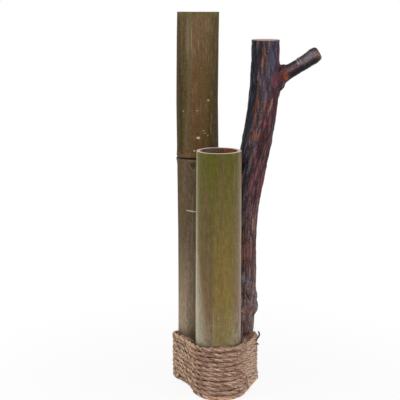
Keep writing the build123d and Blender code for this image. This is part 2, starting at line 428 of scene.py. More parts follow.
def paint(piece, name, values):
    """Store one value for each vertex of a piece, for its material to read."""
    attribute = piece.data.attributes.new(name, "FLOAT", "POINT")
    attribute.data.foreach_set("value", values)


def paint_places(piece, name, places):
    """Store one place for each vertex of a piece, for its material to draw on."""
    attribute = piece.data.attributes.new(name, "FLOAT_VECTOR", "POINT")
    attribute.data.foreach_set("vector", places.ravel())


def dress(piece, finishes, zone_at=None):
    """Give a piece its materials, each face by the zone that its middle and normal fall in."""
    piece.data.materials.clear()
    for finish in finishes:
        piece.data.materials.append(finish)
    if zone_at:
        for face in piece.data.polygons:
            face.material_index = zone_at(face.center, face.normal)


def hand_in(piece, slot, *nodes):
    """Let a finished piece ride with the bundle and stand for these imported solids."""
    if not piece.data.polygons:
        raise RuntimeError(f"{piece.name} came out without faces")
    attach(piece, "root")
    if nodes:
        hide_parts(*nodes)


# Short calls for building node trees

class Finish:
    """A node tree, with calls that each add one node and give its output."""

    def __init__(self, tree, settings=None):
        self.tree = tree
        self.settings = settings

    def node(self, kind, inputs=None, **settings):
        """Add a node, set it, and fill or link its inputs."""
        made = self.tree.nodes.new("ShaderNode" + kind)
        for key, value in settings.items():
            setattr(made, key, value)
        for key, value in (inputs or {}).items():
            self.feed(made.inputs[key], value)
        return made

    def feed(self, socket, value):
        """Link a node's output to a socket, or set its own value or one of the settings' colours."""
        if isinstance(value, bpy.types.NodeSocket):
            self.tree.links.new(value, socket)
        elif isinstance(value, str):
            socket.default_value = self.tone(value)
        elif socket.type == "RGBA":
            socket.default_value = (*value, 1.0)
        else:
            socket.default_value = value

    def tone(self, name):
        """One of the settings' colours, as the nodes take it."""
        return (*getattr(self.settings, name + "_colour"), 1.0)

    def sum(self, operation, first, second=0.0):
        """One arithmetic step."""
        return self.node("Math", {0: first, 1: second}, operation=operation).outputs[0]

    def both(self, *shares):
        """Several shares multiplied."""
        product = shares[0]
        for share in shares[1:]:
            product = self.sum("MULTIPLY", product, share)
        return product

    def step(self, value, low, high):
        """A soft step from 0 at low to 1 at high."""
        inputs = {"Value": value, "From Min": low, "From Max": high}
        return self.node("MapRange", inputs, interpolation_type="SMOOTHSTEP").outputs[0]

    def slope(self, value, low, high):
        """A straight rise from 0 at low to 1 at high."""
        return self.node("MapRange", {"Value": value, "From Min": low, "From Max": high}).outputs[0]

    def spread(self, value, low, high):
        """A value from 0 to 1 spread from low to high."""
        return self.node("MapRange", {"Value": value, "To Min": low, "To Max": high}).outputs[0]

    def near(self, value, centre, reach):
        """A soft peak of 1 at one value, falling to 0 a reach away."""
        away = self.sum("ABSOLUTE", self.sum("SUBTRACT", value, centre))
        return self.step(away, reach, 0.3 * reach)

    def mix(self, share, first, second):
        """A colour between two, by a share from 0 to 1."""
        made = self.node("Mix", data_type="RGBA")
        for index, value in ((0, share), (6, first), (7, second)):
            self.feed(made.inputs[index], value)
        return made.outputs[2]

    def lay(self, base, tone, *shares):
        """A tone laid over a base by several shares multiplied."""
        return self.mix(self.both(*shares), base, tone)

    def shade(self, base, share, low, high):
        """A colour made darker or lighter by a share from 0 to 1."""
        return self.node("HueSaturation", {"Value": self.spread(share, low, high), "Color": base}).outputs[0]

    def ramp(self, value, *stops):
        """A row of colours along a value, as pairs of a place and a colour's name."""
        made = self.node("ValToRGB", {0: value})
        row = made.color_ramp.elements
        while len(row) < len(stops):
            row.new(1.0)
        for element, (place, tone) in zip(row, stops):
            element.position = place
            element.color = self.tone(tone)
        return made.outputs[0]

    def place(self):
        """Places on the piece, in metres."""
        return self.node("TexCoord").outputs["Object"]

    def axis(self, vector, name):
        """One coordinate of a place."""
        return self.node("SeparateXYZ", {0: vector}).outputs[name]

    def stretch(self, vector, scale, shift=(0, 0, 0)):
        """A place moved and scaled on each axis."""
        return self.node("Mapping", {"Vector": vector, "Location": shift, "Scale": scale}).outputs[0]

    def noise(self, vector, scale=1.0, detail=2.0, rough=0.5):
        """A cloudy value from 0 to 1."""
        inputs = {"Vector": vector, "Scale": scale, "Detail": detail, "Roughness": rough}
        return self.node("TexNoise", inputs).outputs[0]

    def painted(self, name):
        """A value stored on the piece."""
        return self.node("Attribute", attribute_name=name).outputs["Fac"]

    def group(self, tree, **inputs):
        """One of the shared effects, with its own values."""
        made = self.node("Group", node_tree=tree)
        for key, value in inputs.items():
            self.feed(made.inputs[key.replace("_", " ").capitalize()], value)
        return made.outputs

    def grain(self, vector, across, along):
        """Long fibres, by how many lie across and along a metre."""
        return self.group(grain_effect(), vector=vector, across=across, along=along)

    def mark(self, place, centre, reach, tilt=0.0, ragged=0.7):
        """A worn mark at a place, all in millimetres and degrees."""
        return self.group(
            mark_effect(), vector=place, centre=Vector(centre) * MM, reach=Vector(reach) * MM,
            tilt=math.radians(tilt), ragged=ragged,
        )["Mask"]

    def bump(self, height, depth, strength=1.0):
        """A normal that follows a height."""
        inputs = {"Height": height, "Distance": depth, "Strength": strength}
        return self.node("Bump", inputs).outputs[0]


def new_finish(name, settings):
    """A new material and its node tree, still without nodes."""
    material = bpy.data.materials.new(name)
    material.use_nodes = True
    tree = material.node_tree
    for node in list(tree.nodes):
        tree.nodes.remove(node)
    return material, Finish(tree, settings)


def surface(finish, base, roughness, normal=None, **constants):
    """The one shader of a finish and its output."""
    shader = finish.node("BsdfPrincipled", {"Base Color": base, "Roughness": roughness})
    if normal is not None:
        finish.feed(shader.inputs["Normal"], normal)
    for key, value in constants.items():
        finish.feed(shader.inputs[key.replace("_", " ")], value)
    finish.node("OutputMaterial", {"Surface": shader.outputs[0]})


# Shared effects

def new_effect(name, inputs, outputs):
    """A node group with named inputs and outputs, and its two end nodes."""
    tree = bpy.data.node_groups.new(name, "ShaderNodeTree")
    for label, kind, default in inputs:
        socket = tree.interface.new_socket(name=label, in_out="INPUT", socket_type="NodeSocket" + kind)
        if default is not None:
            socket.default_value = default
    for label in outputs:
        tree.interface.new_socket(name=label, in_out="OUTPUT", socket_type="NodeSocketFloat")
    start = tree.nodes.new("NodeGroupInput").outputs
    end = tree.nodes.new("NodeGroupOutput").inputs
    return tree, Finish(tree), start, end


def grain_effect():
    """Long fibres: a broad and a fine streak, drawn out along Z."""
    known = bpy.data.node_groups.get("fibre_grain")
    if known:
        return known
    tree, grain, start, end = new_effect(
        "fibre_grain",
        [("Vector", "Vector", None), ("Across", "Float", 300.0), ("Along", "Float", 8.0)],
        ["Broad", "Fine"],
    )
    scale = grain.node("CombineXYZ", {0: start["Across"], 1: start["Across"], 2: start["Along"]}).outputs[0]
    drawn = grain.node("VectorMath", {0: start["Vector"], 1: scale}, operation="MULTIPLY").outputs[0]
    broad = grain.noise(drawn, 1.0, 3.0, 0.55)
    fine = grain.noise(drawn, 4.3, 4.0, 0.65)
    grain.feed(end["Broad"], grain.step(broad, 0.3, 0.7))
    grain.feed(end["Fine"], grain.step(fine, 0.3, 0.7))
    return tree


def mark_effect():
    """A worn mark: a patch with ragged edges at one place on a piece."""
    known = bpy.data.node_groups.get("worn_mark")
    if known:
        return known
    tree, mark, start, end = new_effect(
        "worn_mark",
        [
            ("Vector", "Vector", None),
            ("Centre", "Vector", (0, 0, 0)),
            ("Reach", "Vector", (0.01, 0.01, 0.01)),
            ("Tilt", "Float", 0.0),
            ("Ragged", "Float", 0.4),
        ],
        ["Mask"],
    )
    away = mark.node("VectorMath", {0: start["Vector"], 1: start["Centre"]}, operation="SUBTRACT").outputs[0]
    turned = mark.node("VectorRotate", {"Vector": away, "Angle": start["Tilt"]}, rotation_type="Y_AXIS")
    share = mark.node("VectorMath", {0: turned.outputs[0], 1: start["Reach"]}, operation="DIVIDE").outputs[0]
    reach = mark.node("VectorMath", {0: share}, operation="LENGTH").outputs["Value"]
    wander = mark.sum("SUBTRACT", mark.noise(start["Vector"], 420.0, 3.0, 0.6), 0.5)
    ragged = mark.sum("ADD", reach, mark.sum("MULTIPLY", wander, start["Ragged"]))
    mark.feed(end["Mask"], mark.step(ragged, 1.0, 0.7))
    return tree


def speck_effect():
    """Small specks scattered over a skin."""
    known = bpy.data.node_groups.get("specks")
    if known:
        return known
    tree, specks, start, end = new_effect(
        "specks",
        [("Vector", "Vector", None), ("Scale", "Float", 300.0), ("Share", "Float", 0.3)],
        ["Mask"],
    )
    cloud = specks.noise(start["Vector"], start["Scale"], 2.0, 0.5)
    limit = specks.sum("SUBTRACT", 1.0, start["Share"])
    above = specks.sum("SUBTRACT", cloud, limit)
    specks.feed(end["Mask"], specks.step(above, 0.0, 0.08))
    return tree


# What both culms share

SKIN_STEP = 6 * MM  # height between a culm's rings outside
BORE_STEP = 18 * MM  # the same inside
CULM_SIDES = 96
RIM_BEVEL = 0.6 * MM
LEVEL = 0.01 * MM  # how near to a height a point counts as lying on it
RIM_REACH, FOOT_REACH = 2 * MM, 1 * MM  # how far from the rim and the foot a sawn face may lie
SKIN_REACH = 2 * MM  # how far inside the outer radius a face still counts as skin
SAWN_RISE = 0.4  # how far up or down a sawn face's normal has to point


def narrowing(height, foot_radius, top_radius):
    """Radius at each height of a culm that narrows evenly from its foot to its top."""
    def radius_at(place):
        return foot_radius + (top_radius - foot_radius) * place / height
    return radius_at


def culm_piece(name, centre, outer, rim_radius, bore):
    """A culm grown up its outside, over its rim and down its bore, each given as heights and radii."""
    foot_height, top_height = outer[0][0], outer[-1][0]
    sizes = outer + [(top_height, rim_radius)] + bore
    stations = [(centre + Vector((0, 0, height)), radius) for height, radius in sizes]
    piece = start_ring(name, *stations[0], CULM_SIDES)
    grow_along(stations)
    bpy.ops.mesh.edge_face_add()
    select_parts(piece, "VERT", lambda place: abs(place.z - foot_height) < LEVEL)
    bpy.ops.mesh.edge_face_add()
    select_parts(piece, "EDGE", lambda place: abs(place.z - top_height) < LEVEL)
    bpy.ops.mesh.region_to_loop()
    bpy.ops.mesh.bevel(offset=RIM_BEVEL, segments=2, affect="EDGES")
    return close_mesh(piece)


def culm_zone(centre, outer_radius_at, height):
    """Zone of a culm's face: skin, sawn rim and foot, or the lining of the bore."""
    def zone_at(face_middle, normal):
        at_end = face_middle.z > height - RIM_REACH or face_middle.z < FOOT_REACH
        if abs(normal.z) > SAWN_RISE and at_end:
            return 1
        away = Vector((face_middle.x - centre.x, face_middle.y - centre.y)).length
        return 0 if away > outer_radius_at(face_middle.z) - SKIN_REACH else 2
    return zone_at


def cut_bamboo(settings):
    """Sawn bamboo wall: pale, with dark fibre ends."""
    known = bpy.data.materials.get("cut_bamboo")
    if known:
        return known
    material, cut = new_finish("cut_bamboo", settings)
    place = cut.place()
    specks = cut.group(speck_effect(), vector=place, scale=1500.0, share=0.42)["Mask"]
    cloud = cut.noise(place, 120.0, 3.0)
    base = cut.mix(cloud, "cut", "pale_cut")
    base = cut.lay(base, "fibre", specks, 0.4)
    surface(cut, base, cut.spread(cloud, 0.6, 0.8), cut.bump(specks, 0.1 * MM, 0.4))
    return material


def culm_lining(settings):
    """Raw inner wall of a culm: red-brown with long fibres, greyish on the left, rustier on the right."""
    known = bpy.data.materials.get("culm_lining")
    if known:
        return known
    material, lining = new_finish("culm_lining", settings)
    place = lining.place()
    across = lining.axis(place, "X")
    grain = lining.grain(place, 330.0, 60.0)
    rust = lining.both(lining.step(across, -4 * MM, 10 * MM), grain["Broad"])
    base = lining.mix(rust, "lining", "rust")
    base = lining.mix(lining.spread(grain["Fine"], 0.58, 0.0), base, "dark")
    specks = lining.group(speck_effect(), vector=place, scale=700.0, share=0.45)["Mask"]
    base = lining.lay(base, "grey", specks, lining.step(across, 8 * MM, -10 * MM), 0.7)
    normal = lining.bump(grain["Fine"], 0.2 * MM, 0.5)
    surface(lining, base, lining.spread(grain["Fine"], 0.6, 0.8), normal, Specular_IOR_Level=0.2)
    return material


def finish_culm(piece, skin, bamboo, zone_at):
    """Give a culm its slightly uneven shape, its skin, its sawn ends and its lining."""
    roughen(piece, piece.name + "_bend", 35 * MM, 4.0, 0.5 * MM)
    dress(piece, [skin, cut_bamboo(bamboo), culm_lining(bamboo)], zone_at)


# Short culm

SHORT_MARKS = (  # middle and half size in millimetres, colour and strength of each streak on the short culm
    ((-5.8, -25.1, 84.0), (0.8, 8.0, 24.0), "wax_and_edge_light", 0.2),
    ((-12.4, -22.4, 142.0), (2.2, 8.0, 40.0), "streak", 0.55),
    ((-14.3, -21.3, 204.0), (3.4, 9.0, 40.0), "streak", 0.5),
    ((3.2, -25.4, 150.0), (11.0, 9.0, 52.0), "gold", 0.24),
    ((-14.0, -21.5, 196.0), (2.4, 9.0, 36.0), "dark_and_rope_shade", 0.2),
)


def short_culm_tones(skin, place, plain, low, broad):
    """Green and brown below the rim, yellow and pinkish towards the foot, all in streaks."""
    across = skin.sum("ADD", plain, skin.spread(broad["Broad"], -0.06, 0.06))
    foot = skin.ramp(across, (0.28, "streak"), (0.48, "yellow"), (0.78, "yellow"), (0.92, "dusk"))
    band = skin.noise(skin.stretch(place, (150, 150, 4), (0.2, 0.1, 0.0)), 1.0, 1.5)
    patchy = skin.spread(skin.step(band, 0.35, 0.65), 0.14, 0.34)
    patchy = skin.sum("ADD", patchy, skin.both(broad["Fine"], 0.35))
    top = skin.mix(patchy, "green", "top")
    top = skin.lay(top, "dusk", skin.step(across, 0.8, 0.97), 0.7)
    base = skin.mix(low, top, foot)
    brown, moss = skin.step(broad["Broad"], 0.5, 0.9), skin.step(broad["Fine"], 0.45, 0.1)
    base = skin.lay(base, "streak", brown, skin.spread(low, 0.35, 0.4))
    return skin.lay(base, "green", moss, skin.spread(low, 0.4, 0.25))


def short_culm_wax_and_edge_light(skin, settings, base, height, plain, low, broad):
    """Pale wax down the left side, broader low down, with painted edge light along it, and a painted
    highlight at the right edge.
    """
    edge = skin.sum("ADD", plain, skin.spread(broad["Fine"], -0.02, 0.02))
    breadth = skin.spread(skin.slope(height, 0.6 * settings.height, 0.26 * settings.height), 0.1, 0.42)
    # pale wax with painted edge light, strongest at the left silhouette
    fall = skin.slope(edge, breadth, 0.005)
    wax_and_edge_light = skin.both(fall, fall, skin.spread(low, 0.75, 1.0))
    # painted highlight along the right edge
    painted_glint = skin.spread(skin.near(height, 210 * MM, 42 * MM), 0.45, 1.0)
    wax_and_edge_light = skin.sum("MAXIMUM", wax_and_edge_light, skin.both(skin.step(edge, 0.955, 0.985), painted_glint))
    return skin.mix(wax_and_edge_light, base, skin.mix(low, "upper_wax_and_edge_light", "wax_and_edge_light"))


def short_culm_dust(skin, base, height, plain, cloud):
    """Greyish patches above the rope, most of all at the sides."""
    aside = skin.sum("ABSOLUTE", skin.sum("SUBTRACT", plain, 0.5))
    sides = skin.spread(skin.step(aside, 0.12, 0.36), 0.3, 1.0)
    low_down, patchy = skin.step(height, 112 * MM, 70 * MM), skin.step(cloud, 0.36, 0.6)
    return skin.lay(base, "dust", low_down, patchy, sides, 0.55)


def short_culm_skin(settings):
    """Green bamboo skin with brown streaks, waxy with painted edge light on the left, and painted shade just
    above the rope.
    """
    material, skin = new_finish("short_culm_skin", settings)
    place = skin.place()
    height = skin.axis(place, "Z")
    low = skin.slope(height, 0.98 * settings.height, 0.36 * settings.height)
    plain = skin.slope(skin.axis(place, "X"), -settings.foot_radius, settings.foot_radius)
    broad = skin.grain(place, 150.0, 3.5)
    fine = skin.grain(place, 420.0, 18.0)
    mottle = skin.noise(skin.stretch(place, (330, 330, 120)), 1.0, 4.0, 0.6)
    cloud = skin.noise(place, 170.0, 3.0, 0.6)
    speck = skin.noise(place, 800.0, 2.0, 0.6)
    base = short_culm_tones(skin, place, plain, low, broad)
    pale = skin.step(fine["Broad"], 0.6, 1.0)
    base = skin.lay(base, "dusk", pale, skin.spread(low, 0.0, 0.4))
    base = short_culm_wax_and_edge_light(skin, settings, base, height, plain, low, broad)
    base = short_culm_dust(skin, base, height, plain, cloud)
    for centre, reach, tone, strength in SHORT_MARKS:
        base = skin.lay(base, tone, skin.mark(place, centre, reach), strength)
    base = skin.shade(base, skin.step(mottle, 0.25, 0.75), 0.85, 1.15)
    base = skin.shade(base, fine["Fine"], 0.86, 1.12)
    base = skin.shade(base, skin.step(speck, 0.3, 0.7), 0.84, 1.16)
    # painted shade just above the rope and on the skin behind its turns
    dark_and_rope_shade = skin.step(skin.sum("ADD", height, skin.spread(cloud, -3 * MM, 3 * MM)), 66 * MM, 60 * MM)
    base = skin.lay(base, "dark_and_rope_shade", dark_and_rope_shade, 0.45)
    surface(
        skin, base, skin.spread(broad["Broad"], 0.16, 0.24), skin.bump(fine["Fine"], 0.06 * MM, 0.4),
        Specular_IOR_Level=0.1, Sheen_Weight=0.25, Sheen_Roughness=0.15, Sheen_Tint="sheen",
    )
    return material


def build_short_culm(settings, bamboo):
    """The short green culm, open at the top."""
    centre = middle(SHORT_LOW, SHORT_HIGH)
    radius_at = narrowing(settings.height, settings.foot_radius, settings.rim_radius)
    outer = [(h, radius_at(h)) for h in spaced(0.0, settings.height, SKIN_STEP)]
    down = spaced(settings.height, settings.floor, BORE_STEP)[1:]
    bore = [(h, radius_at(h) - settings.wall) for h in down]
    piece = culm_piece("culm_short", centre, outer, settings.rim_radius - settings.wall, bore)
    finish_culm(piece, short_culm_skin(settings), bamboo, culm_zone(centre, radius_at, settings.height))
    hand_in(piece, "bamboo_green", "short_culm")


# Tall culm

TALL_CHIPS = (  # middle, half size, tilt and strength of each bare mark on the tall culm, in mm and degrees
    ((-22.8, 21.3, 291.0), (2.4, 6.0, 1.5), 0.0, 1.0),
    ((-27.2, 21.6, 276.3), (1.2, 6.0, 1.1), 0.0, 0.9),
    ((-16.6, 22.6, 299.0), (2.0, 6.0, 0.55), 4.0, 0.55),
    ((-15.4, 22.8, 296.2), (1.8, 6.0, 0.5), -4.0, 0.5),
    ((-12.0, 24.0, 293.4), (0.9, 6.0, 0.8), 0.0, 0.6),
    ((-11.6, 24.3, 332.7), (1.7, 6.0, 1.1), -15.0, 0.7),
    ((-39.8, 28.0, 320.5), (0.9, 6.0, 0.9), 0.0, 0.5),
    ((-24.0, 21.4, 321.5), (2.6, 6.0, 0.5), -8.0, 0.4),
    ((-30.0, 22.5, 206.9), (8.2, 9.0, 0.8), -5.0, 0.95),
    ((-30.1, 22.2, 400.0), (0.6, 6.0, 15.0), 0.0, 0.25),
)


def tall_culm_upper(skin, settings, height, across):
    """Skin above the joint: olive sides, a greyish band and a reddish middle, paler towards the top."""
    upper = skin.ramp(
        across, (0.10, "edge"), (0.24, "band"), (0.30, "band"), (0.44, "red"), (0.58, "red"),
        (0.78, "skin"), (0.97, "edge"),
    )
    upper = skin.shade(upper, skin.slope(height, settings.joint_height, settings.height), 0.88, 1.1)
    high_up = skin.slope(height, 360 * MM, settings.height)
    off_left, off_right = skin.step(across, 0.1, 0.35), skin.step(across, 0.95, 0.6)
    upper = skin.lay(upper, "foot", high_up, off_left, off_right, 0.18)
    right = skin.step(across, 0.6, 0.85)
    return skin.lay(upper, "edge", right, skin.near(height, 320 * MM, 60 * MM), 0.45)


def tall_culm_lower(skin, settings, height, across):
    """Skin below the joint: greyer towards the rope, with painted shade beside the short culm, and darker at
    the left edge.
    """
    low_down = skin.slope(height, settings.joint_height - 90 * MM, 80 * MM)
    lower = skin.mix(low_down, "shin", "foot")
    # painted shade where the short culm stands close
    lower = skin.lay(lower, "shade", skin.step(across, 0.18, 0.46), 0.72)
    left, above_rope = skin.step(across, 0.14, 0.0), skin.step(height, 100 * MM, 160 * MM)
    return skin.lay(lower, "edge", left, above_rope, 0.5)


def tall_culm_joint(skin, settings, base, place, height):
    """The joint's dark scar with painted shade in its groove, its rusty ridge and straw patch."""
    across = skin.axis(place, "X")
    tilt = skin.both(across, settings.joint_tilt)
    rise = skin.sum("SUBTRACT", skin.sum("SUBTRACT", height, settings.joint_height), tilt)
    ragged = skin.noise(place, 160.0, 3.0)
    ridge = skin.near(rise, 3.5 * MM, 4.0 * MM)
    base = skin.lay(base, "rust", ridge, skin.step(ragged, 0.35, 0.65), 0.8)
    grey = skin.mark(place, (-34.5, 24.0, 400.0), (2.8, 9.0, 26.0))
    base = skin.lay(base, "foot", grey, 0.16)
    dusk = skin.mark(place, (-28.1, 21.6, 261.5), (3.5, 9.0, 7.0))
    base = skin.lay(base, "scar", dusk, 0.45)
    patch = skin.mark(place, (-29.0, 22.5, settings.joint_height / MM - 3.4), (8.0, 9.0, 2.6), -8.0)
    base = skin.lay(base, "straw", patch, 0.55)
    # the dark scar line is partly painted shade in the joint's groove
    thickness = skin.spread(skin.slope(across, TALL_LOW.x, -20 * MM), 0.8 * MM, 2.0 * MM)
    away = skin.sum("ABSOLUTE", skin.sum("ADD", rise, skin.spread(ragged, -0.6 * MM, 1.0 * MM)))
    return skin.mix(skin.step(skin.sum("DIVIDE", away, thickness), 1.0, 0.3), base, "scar")


def tall_culm_skin(settings):
    """Brown bamboo skin with a reddish middle, a dark joint scar, chips and a scratch."""
    material, skin = new_finish("tall_culm_skin", settings)
    place = skin.place()
    height, joint = skin.axis(place, "Z"), settings.joint_height
    broad = skin.grain(place, 150.0, 7.0)
    fine = skin.grain(place, 420.0, 45.0)
    mottle = skin.noise(skin.stretch(place, (330, 330, 150)), 1.0, 4.0, 0.65)
    speck = skin.noise(place, 700.0, 3.0, 0.65)
    tint = skin.noise(skin.stretch(place, (420, 420, 260)), 1.0, 2.0)
    line = middle(TALL_LOW, TALL_HIGH).x
    plain = skin.slope(skin.axis(place, "X"), line - settings.foot_radius, line + settings.foot_radius)
    across = skin.sum("ADD", plain, skin.spread(broad["Broad"], -0.07, 0.07))
    upper = tall_culm_upper(skin, settings, height, across)
    lower = tall_culm_lower(skin, settings, height, across)
    base = skin.mix(skin.step(height, joint + 1 * MM, joint - 1 * MM), upper, lower)
    at_top = skin.step(height, settings.height - 9 * MM, settings.height)
    base = skin.lay(base, "top", at_top, 0.75)
    worn = skin.spread(skin.step(across, 0.08, 0.3), 0.06, 0.22)
    base = skin.lay(base, "foot", skin.step(fine["Broad"], 0.6, 1.0), worn)
    base = skin.shade(base, skin.step(mottle, 0.25, 0.75), 0.84, 1.16)
    base = skin.shade(base, fine["Fine"], 0.86, 1.12)
    base = skin.shade(base, skin.step(speck, 0.3, 0.7), 0.78, 1.22)
    base = skin.lay(base, "rust", skin.step(tint, 0.52, 0.66), 0.33)
    base = skin.lay(base, "top", skin.step(tint, 0.48, 0.34), 0.4)
    # painted shade just above the rope and behind its turns, in the scar's colour
    dark_and_rope_shade = skin.step(skin.sum("ADD", height, skin.spread(mottle, -5 * MM, 5 * MM)), 74 * MM, 58 * MM)
    base = skin.lay(base, "scar", dark_and_rope_shade, 0.35)
    base = tall_culm_joint(skin, settings, base, place, height)
    for centre, reach, turn, strength in TALL_CHIPS:
        base = skin.lay(base, "chip", skin.mark(place, centre, reach, turn), strength)
    normal = skin.bump(fine["Fine"], 0.15 * MM, 0.6)
    surface(skin, base, skin.spread(fine["Fine"], 0.5, 0.65), normal, Specular_IOR_Level=0.06)
    return material


JOINT_PROFILE = (  # height above the joint's scar and how far the skin stands out there, in millimetres
    (-11.0, 0.0), (-7.0, 0.15), (-4.5, 0.45), (-3.0, 0.85), (-1.9, 1.0), (-1.0, 0.8), (-0.5, -0.3),
    (0.3, -0.5), (0.9, 0.2), (2.2, 0.5), (4.5, 0.35), (8.0, 0.1), (12.0, 0.0),
)


TALL_BOW = (  # height and sideways shift of the tall culm's grown line, in millimetres
    (0.0, 0.4), (80.0, 0.9), (180.0, 0.8), (266.0, 0.0), (330.0, -0.8), (400.0, -0.2), (430.0, 0.4),
)


JOINT_REACH = 30 * MM  # how far from the joint its slope is felt


def bow_culm(piece, settings):
    """Let the tall culm sway a little along its height, and slope its joint."""
    places = places_of(piece)
    places[:, 0] += bowed(places, TALL_BOW)
    near_joint = np.clip(1 - np.abs(places[:, 2] - settings.joint_height) / JOINT_REACH, 0.0, 1.0)
    places[:, 2] += places[:, 0] * settings.joint_tilt * near_joint
    move_places(piece, places)


def build_tall_culm(settings, bamboo):
    """The tall brown culm with its joint ring and the cup above it."""
    centre = middle(TALL_LOW, TALL_HIGH)
    radius_at = narrowing(settings.height, settings.foot_radius, settings.top_radius)
    ring = [(settings.joint_height + rise * MM, proud * MM) for rise, proud in JOINT_PROFILE]
    heights = [(h, 0.0) for h in spaced(0.0, ring[0][0], SKIN_STEP)[:-1]]
    heights += ring
    heights += [(h, 0.0) for h in spaced(ring[-1][0], settings.height, SKIN_STEP)[1:]]
    outer = [(h, radius_at(h) + proud) for h, proud in heights]
    down = spaced(settings.height, settings.height - settings.cup_depth, BORE_STEP)[1:]
    bore = [(h, radius_at(h) - settings.wall) for h in down]
    piece = culm_piece("culm_tall", centre, outer, settings.top_radius - settings.wall, bore)
    finish_culm(piece, tall_culm_skin(settings), bamboo, culm_zone(centre, radius_at, settings.height))
    bow_culm(piece, settings)
    hand_in(piece, "bamboo_brown", "tall_culm")


# Finishes of the branch

BARK_MARKS = (  # middle, half size and tilt, in mm and degrees, colour and cover of each patch on the bark
    ((74.3, 34.0, 361.5), (5.0, 14.0, 9.0), 15.0, "wine", 1.0),
    ((74.3, 34.0, 361.0), (4.6, 14.0, 8.5), 15.0, "rust", 0.6),
    ((74.8, 34.0, 359.0), (3.6, 14.0, 6.5), 15.0, "orange", 0.65),
    ((75.4, 34.0, 363.5), (4.4, 14.0, 5.0), 15.0, "rust", 0.45),
    ((74.6, 34.0, 360.5), (4.2, 14.0, 7.5), 15.0, "crack", 0.3),
    ((40.4, 21.0, 293.0), (3.2, 6.0, 4.2), 20.0, "orange", 0.6),
    ((43.6, 21.0, 290.6), (1.4, 6.0, 2.2), 0.0, "orange", 0.5),
    ((38.5, 21.0, 266.2), (2.0, 6.0, 3.0), 0.0, "rust", 0.7),
    ((48.6, 28.4, 237.0), (1.0, 8.0, 13.0), -10.0, "rust", 0.85),
    ((44.6, 27.8, 214.0), (0.9, 8.0, 10.0), -10.0, "flesh", 0.55),
    ((39.6, 25.4, 190.0), (1.2, 8.0, 10.0), -2.0, "flesh", 1.0),
    ((33.6, 21.6, 158.0), (2.4, 8.0, 20.0), 0.0, "rust", 0.55),
    ((33.8, 21.7, 161.0), (1.1, 8.0, 15.0), 0.0, "flesh", 0.5),
    ((34.0, 22.0, 94.0), (3.6, 8.0, 9.0), 0.0, "clay", 0.6),
    ((63.4, 24.6, 356.0), (5.0, 9.0, 12.0), -8.0, "maroon", 0.9),
    ((63.6, 27.5, 320.0), (3.2, 10.0, 27.0), -10.0, "wine", 0.9),
    ((62.5, 24.0, 337.0), (4.5, 9.0, 9.5), -10.0, "wine", 0.9),
    ((58.9, 22.0, 329.0), (1.2, 8.0, 9.0), -10.0, "flesh", 0.9),
    ((57.2, 21.0, 380.0), (2.6, 8.0, 16.0), 2.0, "slate", 0.8),
    ((50.0, 20.3, 343.0), (2.0, 8.0, 18.0), -6.0, "slate", 0.7),
    ((44.5, 22.0, 372.0), (2.0, 8.0, 16.0), 0.0, "rust", 0.4),
    ((41.5, 22.7, 327.0), (2.0, 8.0, 14.0), -9.0, "rust", 0.6),
    ((30.5, 22.5, 128.0), (8.0, 7.0, 3.6), -48.0, "scar", 1.0),
    ((36.0, 22.5, 122.0), (4.0, 7.0, 2.6), -40.0, "scar", 0.7),
    ((31.5, 22.5, 111.0), (4.0, 7.0, 5.0), -30.0, "crack", 0.55),
    ((34.8, 22.3, 106.7), (1.1, 7.0, 7.0), 26.0, "crack", 0.8),
    ((35.5, 22.5, 88.0), (1.2, 7.0, 3.4), 0.0, "orange", 0.9),
    ((70.0, 34.0, 352.2), (2.0, 8.0, 2.0), 0.0, "crack", 1.0),
)


def bark_tones(bark, height, side, hue):
    """Broad colours of the bark: coal on the left, then umber, slate and maroon to wine at the right edge,
    clay at the foot; the coal and the wine are partly painted shade at the two sides.
    """
    lean = bark.both(bark.near(height, 288 * MM, 30 * MM), 0.3)
    wander = bark.sum("ADD", bark.spread(hue["Broad"], -0.3, 0.3), lean)
    across = bark.slope(bark.sum("ADD", side, wander), -1.0, 1.0)
    top = bark.ramp(
        across, (0.24, "coal"), (0.34, "umber"), (0.52, "umber"), (0.64, "slate"), (0.76, "slate"),
        (0.86, "maroon"), (1.0, "wine"),
    )
    waist = bark.ramp(
        across, (0.26, "coal"), (0.4, "umber"), (0.6, "umber"), (0.72, "maroon"), (0.84, "wine"),
    )
    base = bark.mix(bark.step(height, 335 * MM, 355 * MM), waist, top)
    base = bark.mix(bark.step(height, 225 * MM, 190 * MM), base, "umber")
    cool = bark.near(height, 240 * MM, 80 * MM)
    base = bark.lay(base, "scar", cool, bark.step(across, 0.62, 0.38), 0.4)
    red = bark.near(height, 155 * MM, 35 * MM)
    base = bark.lay(base, "rust", red, bark.step(hue["Broad"], 0.2, 0.6), 0.5)
    return bark.mix(bark.step(height, 145 * MM, 115 * MM), base, "clay")


def bark_flecks(bark, base, along, height, side, hue):
    """Slate and rusty flecks on the bark, the rusty ones mostly off its left side."""
    fleck = bark.noise(bark.stretch(along, (800, 800, 280), (0.1, 0.4, 0.2)), 1.0, 2.0, 0.6)
    warm = bark.spread(bark.step(side, -0.6, -0.1), 0.1, 0.45)
    warm = bark.both(warm, bark.spread(bark.step(height, 345 * MM, 360 * MM), 1.0, 0.5))
    base = bark.lay(base, "slate", bark.step(hue["Fine"], 0.6, 0.9), 0.5)
    base = bark.lay(base, "rust", bark.step(hue["Fine"], 0.35, 0.1), warm)
    base = bark.lay(base, "slate", bark.step(fleck, 0.55, 0.68), 0.5)
    return bark.lay(base, "rust", bark.step(fleck, 0.45, 0.34), warm)


